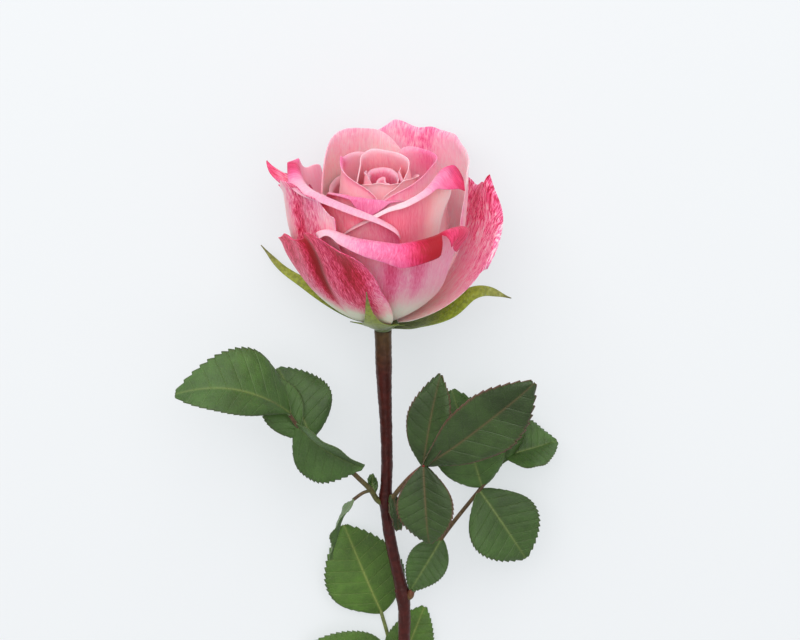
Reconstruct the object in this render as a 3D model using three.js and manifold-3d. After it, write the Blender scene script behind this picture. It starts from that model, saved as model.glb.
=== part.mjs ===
// A cut garden rose lying on its back: an open two-coloured bloom on a leafy stem.
//
// Millimetres. In the rose's own frame x points right, y runs up the stem from the foot of the
// calyx, and z points to the side that faces up where the rose lies. The whole rose is then
// pitched about x, so that the stem's cut end and the bloom's back petals touch the surface z = 0.
// An azimuth goes round the stem, from 0 on the upper side, positive to the right.
import * as THREE from 'three';
import { mergeVertices } from 'three/addons/utils/BufferGeometryUtils.js';
import Module from 'manifold-3d';

const wasm = await Module();
wasm.setup();

// ---- driving dimensions ----
const STEM_LENGTH = 230; // foot of the calyx to the cut end
const NECK_RADIUS = 3.05; // just under the calyx
const STEM_RADIUS = 2.15; // thinnest, above the first node
const FOOT_RADIUS = 2.9; // at the cut end
const CUT_SLANT = 4; // how far the cut end runs back across the stem
const CALYX_HEIGHT = 3.5; // receptacle
const CALYX_RADIUS = 5.6; // its rim
const SEPAL_THICKNESS = 0.8;
const PETAL_THICKNESS = 0.7;
const LEAF_THICKNESS = 0.7;
const SEAT_GAP = 0.3; // air between two pieces that meet
const PITCH = 5.6; // degrees that the bloom end is raised
const PLACE = { x: 4.35, y: 79.18 }; // the foot of the calyx, from the middle of the rose's box

// ---- how the rose lies ----
const pitch = THREE.MathUtils.degToRad(PITCH);
const LIFT = (STEM_LENGTH + CUT_SLANT / 2) * Math.sin(pitch) + FOOT_RADIUS * Math.cos(pitch);
const UP = new THREE.Vector3(0, Math.sin(pitch), Math.cos(pitch));
const SOFT_TOUCH = 0.5; // height over which a blade bends flat onto the surface

// Moves a midsurface point up, so that a blade of this thickness lies flat where it would sink in.
function restOnSurface(point, thickness) {
  const height = point.dot(UP) + LIFT - thickness / 2;
  let wanted = height;
  if (height <= -SOFT_TOUCH) wanted = 0;
  else if (height < SOFT_TOUCH) wanted = (height + SOFT_TOUCH) ** 2 / (4 * SOFT_TOUCH);
  point.lies = wanted === 0;
  return point.addScaledVector(UP, wanted - height);
}

// ---- general helpers ----
const vec = (x, y, z) => new THREE.Vector3(x, y, z);
const radians = THREE.MathUtils.degToRad;
const clamp01 = (x) => Math.min(Math.max(x, 0), 1);
const ramp = (x, from, to) => THREE.MathUtils.smoothstep(x, from, to);

function geometryOf(points, triangles) {
  const geometry = new THREE.BufferGeometry();
  geometry.setFromPoints(points);
  geometry.setIndex(triangles);
  return geometry;
}

// A thin closed blade about a grid of midsurface points, rows[j][i]. Its two faces stand half the
// thickness off the grid, along the grid's normal or straight up where it lies on the surface, and
// are split along the same diagonals.
function bladeGeometry(rows, thickness) {
  const count = rows[0].length;
  const upper = [];
  const lower = [];
  rows.forEach((row, j) => row.forEach((point, i) => {
    const before = rows[Math.max(j - 1, 0)][i];
    const after = rows[Math.min(j + 1, rows.length - 1)][i];
    const along = after.clone().sub(before);
    const across = row[Math.min(i + 1, count - 1)].clone().sub(row[Math.max(i - 1, 0)]);
    const normal = across.cross(along);
    if (point.lies) normal.projectOnVector(UP);
    const offset = normal.setLength(thickness / 2);
    upper.push(point.clone().add(offset));
    lower.push(point.clone().sub(offset));
  }));
  const under = upper.length;
  const triangles = [];
  for (let j = 0; j < rows.length - 1; j += 1) {
    for (let i = 0; i < count - 1; i += 1) {
      const a = j * count + i;
      const [b, c, d] = [a + 1, a + count + 1, a + count];
      triangles.push(a, b, c, a, c, d);
      triangles.push(under + a, under + c, under + b, under + a, under + d, under + c);
    }
  }
  const rim = [];
  const last = rows.length - 1;
  for (let i = 0; i < count - 1; i += 1) rim.push(i);
  for (let j = 0; j < last; j += 1) rim.push(j * count + count - 1);
  for (let i = count - 1; i > 0; i -= 1) rim.push(last * count + i);
  for (let j = last; j > 0; j -= 1) rim.push(j * count);
  rim.forEach((p, k) => {
    const q = rim[(k + 1) % rim.length];
    triangles.push(q, p, under + p, q, under + p, under + q);
  });
  return geometryOf([...upper, ...lower], triangles);
}

// A closed round bar along a curve. radiusAt gives its radius at each share of its length, and
// slant shears its first end.
function barGeometry(curve, steps, sides, radiusAt, slant = 0) {
  const frames = curve.computeFrenetFrames(steps, false);
  const points = [];
  for (let k = 0; k <= steps; k += 1) {
    const share = k / steps;
    const centre = curve.getPointAt(share);
    for (let s = 0; s < sides; s += 1) {
      const turn = (2 * Math.PI * s) / sides;
      const offset = frames.normals[k].clone().multiplyScalar(Math.cos(turn))
        .addScaledVector(frames.binormals[k], Math.sin(turn)).multiplyScalar(radiusAt(share));
      const shear = k === 0 ? (slant * offset.z) / (2 * radiusAt(0)) : 0;
      points.push(centre.clone().add(offset).addScaledVector(frames.tangents[k], shear));
    }
  }
  const triangles = [];
  for (let k = 0; k < steps; k += 1) {
    for (let s = 0; s < sides; s += 1) {
      const [a, b] = [k * sides + s, k * sides + ((s + 1) % sides)];
      triangles.push(a, b, b + sides, a, b + sides, a + sides);
    }
  }
  for (let s = 1; s < sides - 1; s += 1) {
    triangles.push(0, s + 1, s);
    triangles.push(steps * sides, steps * sides + s, steps * sides + s + 1);
  }
  return geometryOf(points, triangles);
}

const smoothCurve = (points) => new THREE.CatmullRomCurve3(points.map((p) => vec(...p)));

// ---- joining and cutting ----
function solidOf(geometry) {
  const bare = geometry.index ? geometry.toNonIndexed() : geometry.clone();
  bare.deleteAttribute('normal');
  bare.deleteAttribute('uv');
  const merged = mergeVertices(bare, 1e-4);
  return new wasm.Manifold(new wasm.Mesh({
    numProp: 3,
    vertProperties: Float32Array.from(merged.attributes.position.array),
    triVerts: Uint32Array.from(merged.index.array),
  }));
}

const fuse = (solids) => solids.reduce((whole, next) => whole.add(next));

// The largest body of a fused solid, without loose scraps and sealed pockets.
function mainBody(solid) {
  const bodies = solid.decompose().filter((body) => body.volume() > 0);
  return bodies.reduce((most, body) => (body.volume() > most.volume() ? body : most));
}

function meshOf(name, solid, color, roughness) {
  const { vertProperties, triVerts } = mainBody(solid).getMesh();
  const geometry = new THREE.BufferGeometry();
  geometry.setAttribute('position', new THREE.BufferAttribute(vertProperties.slice(), 3));
  geometry.setIndex(new THREE.BufferAttribute(triVerts.slice(), 1));
  geometry.computeVertexNormals();
  const mesh = new THREE.Mesh(geometry, new THREE.MeshStandardMaterial({ color, roughness }));
  mesh.name = name;
  return mesh;
}

// ---- stem ----
const STEM_LINE = [
  [3.0, -STEM_LENGTH, 0], [4.4, -205, 0], [5.6, -180, 0], [6.8, -152, 0], [7.7, -127, 0],
  [7.4, -109.5, 0], [4.1, -92.8, 0], [1.9, -80.2, 0], [0.9, -68, 0], [1.3, -54.4, 0],
  [1.1, -40, 0], [0.4, -20.8, 0], [0, 0, 0],
];
const NODES = [-68, -108, -164]; // heights where a leaf joins
const NODE_SWELL = 0.55;
const NODE_SPREAD = 3.5;
const PRICKLES = [
  { at: [5.5, -183, 0], azimuth: -62 },
  { at: [4.7, -199, 0], azimuth: 70 },
  { at: [4.0, -213, 0], azimuth: -25 },
];
const PRICKLE_LENGTH = 4.2;
const PRICKLE_RADIUS = 1.5;

function stemRadius(y) {
  const neck = (NECK_RADIUS - STEM_RADIUS) * ramp(y, -42, -10);
  const foot = (FOOT_RADIUS - STEM_RADIUS) * (1 - ramp(y, -STEM_LENGTH, -70));
  const swell = NODES.reduce((sum, node) => sum + Math.exp(-(((y - node) / NODE_SPREAD) ** 2)), 0);
  return STEM_RADIUS + neck + foot + NODE_SWELL * swell;
}

function stemSolid(allowance = 0) {
  const curve = smoothCurve(STEM_LINE);
  const radiusAt = (share) => stemRadius(curve.getPointAt(share).y) + allowance;
  const shaft = solidOf(barGeometry(curve, 44, 9, radiusAt, CUT_SLANT));
  const bud = new THREE.SphereGeometry(1.5 + allowance, 8, 6).scale(1, 1.7, 1);
  bud.rotateZ(radians(-28)).translate(10.2, -106, 0.6);
  const prickles = PRICKLES.map(({ at, azimuth }) => {
    const cone = new THREE.ConeGeometry(PRICKLE_RADIUS, PRICKLE_LENGTH, 6);
    cone.scale(0.55, 1, 1).translate(0, PRICKLE_LENGTH / 2 + STEM_RADIUS - 0.4, 0);
    cone.rotateX(radians(100)).rotateY(radians(azimuth)).translate(...at);
    return solidOf(cone);
  });
  return fuse([shaft, solidOf(bud), ...prickles]);
}

// ---- petals ----
// A petal lies on a cup: its midline leaves the claw at lean[0] degrees from the axis, has turned
// to lean[1] at the belly, where the wall is `reach` from the axis, and to lean[2] at the top,
// `height` above the lowest claws; its own claw sits `foot` above them. Across, the wall is round,
// its radius `wrap` times its distance from the axis. The outline has a flat or rounded top with an
// optional point, and the margins roll outwards: curl gives how much of the left, top and right
// margin rolls, and roll how many degrees it turns. A flap [at, half width, length] is a triangle
// that hangs from the rolled top. Beyond flatFrom half widths to the left, no margin rolls. A touch
// [across, along, width, length, push] bends the petal there by mm across it, along it and outwards.
const PETAL = {
  wrap: 1, top: 0.34, peak: 0, peakAt: 0, slant: 0, curl: [5, 5, 5], roll: [60, 90, 60],
  rollFrom: 0.6, flatFrom: 1.2, wave: [0.6, 2, 0], crease: [0, 0, 0.2], claw: 4, foot: 0, flaps: [],
  touches: [],
};
const REST_COLUMNS = [-1, -0.84, -0.55, -0.24, 0.16, 0.5, 0.84, 1]; // a flat strip to rest on
const OUTER_PETALS = {
  frontLeft: { azimuth: -48.5, reach: 33.7, height: 41, width: 53, lean: [69, 19, 34], wrap: 1.06,
    top: 0.14, slant: -0.1, curl: [4, 3, 5], roll: [30, 25, 20], wave: [1.2, 2.5, 0.3], claw: 5.6,
    touches: [[0.1, 0.9, 0.14, 0.5, [0, -2, -3]], [0.32, 1, 0.16, 0.4, [0, 3, 0]],
      [-1, 1, 0.3, 0.5, [0, -2, 0]]], columns: [-1, -0.75, -0.35, 0.1, 0.32, 0.6, 0.84, 1] },
  right: { azimuth: 120, reach: 34.3, height: 46, width: 56, lean: [66, 20, 2], wrap: 2.2,
    peak: 9, peakAt: -0.45, top: 0.36, curl: [4, 4, 6], roll: [40, 10, 30],
    wave: [1.2, 2.2, 0.1], claw: 4.6, touches: [[-0.45, 1, 0.22, 0.2, [0, 1.5, -1]]],
    columns: [-1, -0.82, -0.6, -0.45, -0.28, 0.1, 0.55, 1] },
  leftTip: { azimuth: -104, reach: 24.6, height: 53.5, width: 22, lean: [64, 6, 10], wrap: 1.1,
    top: 0.5, peak: 8, curl: [4, 3, 4], roll: [40, 20, 40], claw: 4.6, foot: 0.9,
    touches: [[0, 1, 0.6, 0.3, [0, 0, 4]], [0, 1, 0.3, 0.1, [0, -2, 9]]],
    columns: [-1, -0.5, -0.2, 0, 0.2, 0.5, 1] },
  front: { azimuth: 9, reach: 31.6, height: 43, width: 59, lean: [64, 13, 8], wrap: 1.03, top: 0.1,
    curl: [5, 16, 10], roll: [120, 180, 160], rollFrom: 0.7, wave: [0.6, 1.5, 0],
    flaps: [[0.5, 0.1, -7]], claw: 4.4, foot: 1,
    touches: [[1, 1, 0.4, 0.4, [0, 3, 0]], [-0.5, 1, 0.3, 0.4, [0, -1.5, 0]],
      [1, 0.55, 0.5, 0.26, [-7, 0, 0]]],
    columns: [-1, -0.8, -0.44, 0, 0.38, 0.5, 0.62, 0.84, 1] },
  under: { azimuth: 176, reach: 31.4, height: 50, width: 58, lean: [66, 10, 4], wrap: 1.1, top: 0.3,
    peak: 3, roll: [90, 90, 90], claw: 4.4, foot: 1.8, columns: REST_COLUMNS },
  left: { azimuth: -67, reach: 34.3, height: 57, width: 54, lean: [68, 6, 6], top: 0.14,
    slant: -0.14, curl: [4, 4, 4], roll: [30, 30, 20], wave: [0.9, 2, 0.5],
    crease: [1.8, 0.25, 0.14], claw: 4.2, foot: 2.7,
    touches: [[-1, 1, 0.2, 0.3, [0, -3, 0]], [0.8, 1, 0.35, 0.5, [0, -9, 0]]] },
  leftLip: { azimuth: -62, reach: 28.5, height: 57.8, width: 74, lean: [68, 4, 2], top: 0.16,
    peak: 3, peakAt: -0.36, slant: 0.085, curl: [2, 8, 5], roll: [20, 150, 140], rollFrom: 0.75,
    foot: 3.8, flatFrom: 0.55,
    touches: [[-0.75, 1, 0.4, 0.5, [0, -10, 0]], [-0.6, 1, 0.12, 0.3, [0, 2.5, 0]]],
    columns: [-1, -0.78, -0.56, -0.36, -0.1, 0.2, 0.5, 0.78, 1] },
  rightLip: { azimuth: 12, reach: 26.8, height: 54.5, width: 43, lean: [68, 2, 4], top: 0.12,
    slant: -0.17, curl: [3, 4.5, 6], roll: [140, 150, 140], rollFrom: 0.7, flaps: [[0.84, 0.3, 10]],
    foot: 5, touches: [[1, 1, 0.35, 0.3, [6, 10.5, 1]], [1, 0.6, 0.5, 0.32, [-7, 0, 0]]] },
  backRight: { azimuth: 140, reach: 29, height: 64.5, width: 70, lean: [68, 4, -4], top: 0.14,
    peak: 1.8, peakAt: 0.5, curl: [3, 3, 3], roll: [30, 30, 20], foot: 4,
    touches: [[-0.34, 1, 0.1, 0.3, [0, 1.6, 0]], [0.22, 1, 0.12, 0.3, [0, -1, 0]]] },
  backLeft: { azimuth: -145, reach: 21.6, height: 66.6, width: 54, lean: [68, 2, -7], top: 0.4,
    curl: [3, 3, 3], roll: [10, 20, 10], claw: 3.5, foot: 5.2 },
};
const FOLDED = { claw: 2, foot: 6, curl: [1.4, 1.6, 1.4], roll: [50, 60, 50] };
const HEART_LEAN = [68, -2, -8];
const INNER_PETALS = {
  innerRight: { azimuth: 82, reach: 19.8, height: 60, width: 56, lean: [68, -1, -6], top: 0.12,
    slant: -0.05, curl: [1.4, 1.8, 2], roll: [40, 50, 60], claw: 3.2, foot: 5.6 },
  innerBack: { ...FOLDED, azimuth: 168, reach: 12.8, height: 61.5, width: 46, lean: [68, -2, -12],
    top: 0.2, roll: [40, 40, 40], claw: 2.4 },
  innerLeft: { ...FOLDED, azimuth: -88, reach: 16.2, height: 59, width: 46, lean: [68, -1, -6],
    top: 0.14, peak: 3, slant: 0.04, curl: [1.4, 2, 2], roll: [50, 70, 60], claw: 2.8 },
  innerFront: { ...FOLDED, azimuth: -15, reach: 18, height: 52, width: 46, lean: [68, 0, -4],
    top: 0.12, flaps: [[0.02, 0.3, 5.5]], curl: [3, 3.5, 2.5], roll: [110, 165, 90], claw: 3 },
  innerFold: { ...FOLDED, azimuth: 62, reach: 13.6, height: 55.5, width: 30, lean: [68, -2, -6],
    top: 0.2, roll: [60, 70, 60], claw: 2.6 },
  heartFront: { ...FOLDED, azimuth: 12, reach: 10, height: 53.8, width: 31, lean: HEART_LEAN,
    top: 0.2, roll: [60, 80, 60] },
  heartBack: { ...FOLDED, azimuth: 172, reach: 8.2, height: 55.2, width: 26, lean: HEART_LEAN,
    top: 0.16, curl: [1.5, 2, 1.5], roll: [60, 100, 60], claw: 1.6 },
  heartLeft: { ...FOLDED, azimuth: -80, reach: 9, height: 56.5, width: 15, lean: HEART_LEAN,
    top: 0.3, curl: [1.2, 1.4, 1.2], roll: [40, 40, 40], claw: 1.8 },
  heartRight: { ...FOLDED, azimuth: 100, reach: 9.4, height: 56.5, width: 12, lean: HEART_LEAN,
    top: 0.3, curl: [1, 1.2, 1], roll: [40, 40, 40], claw: 1.8 },
  coreBack: { ...FOLDED, azimuth: 140, reach: 4.4, height: 53, width: 12, lean: HEART_LEAN,
    top: 0.3, claw: 1.4 },
  coreFront: { ...FOLDED, azimuth: 20, reach: 4, height: 51.5, width: 11, lean: HEART_LEAN,
    top: 0.3, claw: 1.3 },
  coreLeft: { ...FOLDED, azimuth: -110, reach: 3.4, height: 51.5, width: 9, lean: HEART_LEAN,
    top: 0.3, claw: 1.2 },
  packedBack: { azimuth: 172, reach: 22.3, height: 52, width: 46, lean: [68, -2, -6],
    curl: [2, 2.4, 2], claw: 3.3, foot: 5.8 },
  packedLeft: { azimuth: -60, reach: 22, height: 50, width: 40, lean: [68, -2, -6],
    curl: [2, 2.4, 2], claw: 3.2, foot: 5.8 },
  packedRight: { azimuth: 48, reach: 23, height: 49, width: 40, lean: [68, -2, -6],
    curl: [2, 2.4, 2], claw: 3.2, foot: 5.8 },
  packedLeftBack: { azimuth: -138, reach: 19.5, height: 50, width: 40, lean: [68, -2, -6],
    curl: [2, 2.4, 2], claw: 3, foot: 5.9 },
  packedFront: { azimuth: -2, reach: 14, height: 49, width: 30, lean: [68, -2, -6],
    curl: [2, 2.4, 2], claw: 2.6, foot: 6 },
};
const PETAL_FOOT = 4; // height of the claws above the foot of the calyx
const FLAT_CURL = 0.2; // rolled length that is left where the margin lies flat

// The cup that a petal lies on, as distances along its midline.
class Cup {
  constructor(petal) {
    this.petal = petal;
    const [start, belly, tip] = petal.lean.map(radians);
    const bellyAt = ((petal.reach - petal.claw) * (start - belly))
      / (Math.cos(belly) - Math.cos(start));
    const trace = (topAt) => {
      const line = [{ r: petal.claw, h: 0 }];
      for (let y = Cup.STEP / 2; y < Cup.LONGEST; y += Cup.STEP) {
        const angle = y < bellyAt
          ? start + ((belly - start) * y) / bellyAt
          : belly + (tip - belly) * ramp(y, bellyAt, Math.max(topAt, bellyAt + 5));
        const { r, h } = line.at(-1);
        line.push({ r: r + Math.sin(angle) * Cup.STEP, h: h + Math.cos(angle) * Cup.STEP });
      }
      return line;
    };
    let topAt = petal.height;
    for (let pass = 0; pass < 6; pass += 1) {
      this.line = trace(topAt);
      topAt = this.line.findIndex(({ h }) => h >= petal.height - petal.foot) * Cup.STEP;
    }
    const turn = radians(petal.roll[1]);
    const rollRadius = petal.curl[1] / turn;
    this.length = topAt + petal.curl[1] - rollRadius * Math.sin(Math.min(turn, Math.PI / 2));
  }

  // The point x across the petal and y along it.
  at(x, y) {
    const { petal, line } = this;
    const place = Math.min(Math.max(y / Cup.STEP, 0), line.length - 1.001);
    const [low, high] = [line[Math.floor(place)], line[Math.floor(place) + 1]];
    const share = place - Math.floor(place);
    const r = low.r + (high.r - low.r) * share;
    const h = low.h + (high.h - low.h) * share;
    const wall = Math.max(petal.wrap * Math.max(r, 1), 2.5);
    const out = r - wall + wall * Math.cos(x / wall);
    const aside = wall * Math.sin(x / wall);
    const turn = radians(petal.azimuth);
    return vec(out * Math.sin(turn) + aside * Math.cos(turn), h + petal.foot + PETAL_FOOT,
      out * Math.cos(turn) - aside * Math.sin(turn));
  }

  normal(x, y) {
    const across = this.at(x + 0.05, y).sub(this.at(x - 0.05, y));
    const along = this.at(x, y + 0.05).sub(this.at(x, Math.max(y - 0.05, 0)));
    return across.cross(along).normalize();
  }
}
Cup.STEP = 0.25;
Cup.LONGEST = 120;

// Half the petal's width at a share of its length.
function petalHalfWidth(petal, share) {
  const claw = Math.min(4.5, 0.18 * petal.width);
  const grown = Math.sin((Math.PI / 2) * clamp01(share / 0.62)) ** 0.85;
  return claw + (petal.width / 2 - claw) * grown * (1 - 0.06 * ramp(share, 0.7, 1));
}

// Share of the petal's length that its outline reaches, u across from -1 to 1.
function petalOutline(petal, u) {
  const round = 1 - petal.top + petal.top * Math.sqrt(Math.max(1 - u * u, 0));
  const point = (petal.peak / 60) * Math.exp(-(Math.abs((u - petal.peakAt) / 0.14) ** 1.3));
  return round + point - petal.slant * u;
}

// A Gaussian bump about (at, along) of the given half sizes.
const bump = (u, v, [at, along, wide, long]) => Math.exp(
  -(((u - at) / wide) ** 2) - ((v - along) / long) ** 2,
);

// A midsurface point of the petal: on the cup, with its margins rolled, its top waved and the
// touches added. What a flap or a corner leaves beyond the roll runs on straight.
function petalPoint(cup, u, v) {
  const { petal, length } = cup;
  const flap = petal.flaps.reduce(
    (sum, [at, wide, size]) => sum + size * clamp01(1 - Math.abs(u - at) / wide), 0,
  );
  const reachTop = petalOutline(petal, u) + flap / length;
  let y = length * v * (1 - (1 - reachTop) * v ** 1.5);
  const share = y / length;
  const half = petalHalfWidth(petal, share);
  let x = u * half;
  const left = clamp01(-u) ** 1.2;
  const right = clamp01(u) ** 1.2;
  const blend = ([a, b, c]) => a * left + b * (1 - left - right) + c * right;
  const curl = blend(petal.curl) * (1 - ramp(-u, petal.flatFrom - 0.2, petal.flatFrom)) + FLAT_CURL;
  const radius = curl / radians(blend(petal.roll));
  const inTop = Math.max(curl + flap - Math.max(reachTop * length - y, 0), 0);
  const inSide = Math.max(curl - Math.max(half - Math.abs(x), 0), 0)
    * ramp(share, petal.rollFrom, petal.rollFrom + 0.25);
  const slope = Math.hypot(inTop, inSide);
  const angle = Math.min(slope, curl) / radius;
  const straight = slope - Math.min(slope, curl);
  const back = slope - radius * Math.sin(angle) - straight * Math.cos(angle);
  if (slope > 0) {
    x -= ((Math.sign(x) * inSide) / slope) * back;
    y -= (inTop / slope) * back;
  }
  const [waveSize, waves, phase] = petal.wave;
  const [creaseDepth, creaseAt, creaseWidth] = petal.crease;
  let lift = radius * (1 - Math.cos(angle)) + straight * Math.sin(angle)
    + waveSize * Math.sin(Math.PI * (waves * u + phase)) * ramp(v, 0.5, 1)
    - creaseDepth * Math.exp(-(((u - creaseAt) / creaseWidth) ** 2)) * ramp(v, 0.15, 0.6);
  petal.touches.forEach((touch) => {
    const strength = bump(u, v, touch);
    const [across, along, outwards] = touch.at(-1);
    x += across * strength;
    y += along * strength;
    lift += outwards * strength;
  });
  return cup.at(x, y).addScaledVector(cup.normal(x, y), lift);
}

// Grid lines lie closer where the margins roll.
const WIDE_GRID = { u: [-1, -0.84, -0.48, 0, 0.48, 0.84, 1],
  v: [0, 0.3, 0.56, 0.74, 0.85, 0.93, 1] };
const SMALL_GRID = { u: [-1, -0.6, 0, 0.6, 1], v: [0.5, 0.82, 0.93, 1] };

function petalSolid(shape, grid) {
  const cup = new Cup({ ...PETAL, ...shape });
  const columns = shape.columns ?? grid.u;
  const rows = grid.v.map((v) => columns.map(
    (u) => restOnSurface(petalPoint(cup, u, v), PETAL_THICKNESS),
  ));
  return solidOf(bladeGeometry(rows, PETAL_THICKNESS));
}

// The packed heart that the petals' claws grow from, well inside the inner petals.
const HEART_PROFILE = [
  [0, 0.6], [5.8, 0.6], [12, 5.5], [17.5, 10], [22, 16], [24.5, 24], [24, 32], [18, 39], [9, 42.5],
  [0, 43.5],
];

function bloomSolid() {
  const profile = HEART_PROFILE.map(([r, h]) => new THREE.Vector2(r, h + PETAL_FOOT));
  const heart = solidOf(new THREE.LatheGeometry(profile, 16));
  const outer = Object.values(OUTER_PETALS).map((shape) => petalSolid(shape, WIDE_GRID));
  const inner = Object.values(INNER_PETALS).map((shape) => petalSolid(shape, SMALL_GRID));
  return fuse([heart, ...outer, ...inner]);
}

// ---- calyx ----
// Each sepal's centre line runs in the plane of its azimuth, as [distance from the axis, height].
const SEPALS = [
  { azimuth: -9, width: 19, twist: 0, taper: 1.7,
    line: [[3, 1.5], [8, 3.6], [16, 7.8], [24, 13], [31, 20.5], [34.6, 28]] },
  { azimuth: 84, width: 10.5, twist: 62,
    line: [[3, 1.3], [12, 2.2], [24, 8.6], [32, 15.4], [37, 16.6], [46, 14.2]] },
  { azimuth: 150, width: 11, twist: 0,
    line: [[3, 1.5], [8, 3.4], [15, 6.6], [21, 10.5], [25, 15]] },
  { azimuth: -150, width: 11, twist: 0,
    line: [[3, 1.5], [8, 3.4], [15, 6.6], [21, 10.5], [25, 15]] },
  { azimuth: -118, width: 6.5, twist: -40,
    line: [[3, 1.5], [14, 3.5], [32.6, 12.1], [42, 16.5], [50.6, 23.8]] },
];
const SEPAL_STEPS = 7;

function sepalSolid({ azimuth, width, twist, taper = 0.8, line }, allowance) {
  const turn = radians(azimuth);
  const out = vec(Math.sin(turn), 0, Math.cos(turn));
  const curve = new THREE.CatmullRomCurve3(
    line.map(([r, h]) => out.clone().multiplyScalar(r).setY(h)),
  );
  const rows = [];
  for (let k = 0; k <= SEPAL_STEPS; k += 1) {
    const share = k / SEPAL_STEPS;
    const along = curve.getTangentAt(share);
    const centre = curve.getPointAt(share)
      .addScaledVector(along, k === SEPAL_STEPS ? 2 * allowance : 0);
    const half = 0.5 + (width / 2) * (1 - share) ** taper * (0.4 + 0.6 * ramp(share, 0, 0.3));
    const across = vec(Math.cos(turn), 0, -Math.sin(turn))
      .applyAxisAngle(along, radians(twist) * ramp(share, 0.2, 0.65));
    const hug = along.clone().cross(across)
      .multiplyScalar((half * half) / (2 * Math.max(Math.hypot(centre.x, centre.z), 6)));
    rows.push([-1, 0, 1].map((side) => {
      const point = centre.clone().addScaledVector(across, side * (half + allowance));
      return side ? point.add(hug) : point;
    }));
  }
  return solidOf(bladeGeometry(rows, SEPAL_THICKNESS + 2 * allowance));
}

function calyxSolid(allowance = 0) {
  const top = CALYX_HEIGHT - 0.2 + allowance;
  const profile = [
    [0, SEAT_GAP], [NECK_RADIUS, SEAT_GAP], [3.9, 1.3], [CALYX_RADIUS - 0.6, 2.2],
    [CALYX_RADIUS, CALYX_HEIGHT - 0.8], [CALYX_RADIUS - 1.2, top], [0, top],
  ].map(([r, h]) => new THREE.Vector2(r > 0 ? r + allowance : 0, h));
  const receptacle = solidOf(new THREE.LatheGeometry(profile, 16));
  return fuse([receptacle, ...SEPALS.map((sepal) => sepalSolid(sepal, allowance))]);
}

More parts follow.
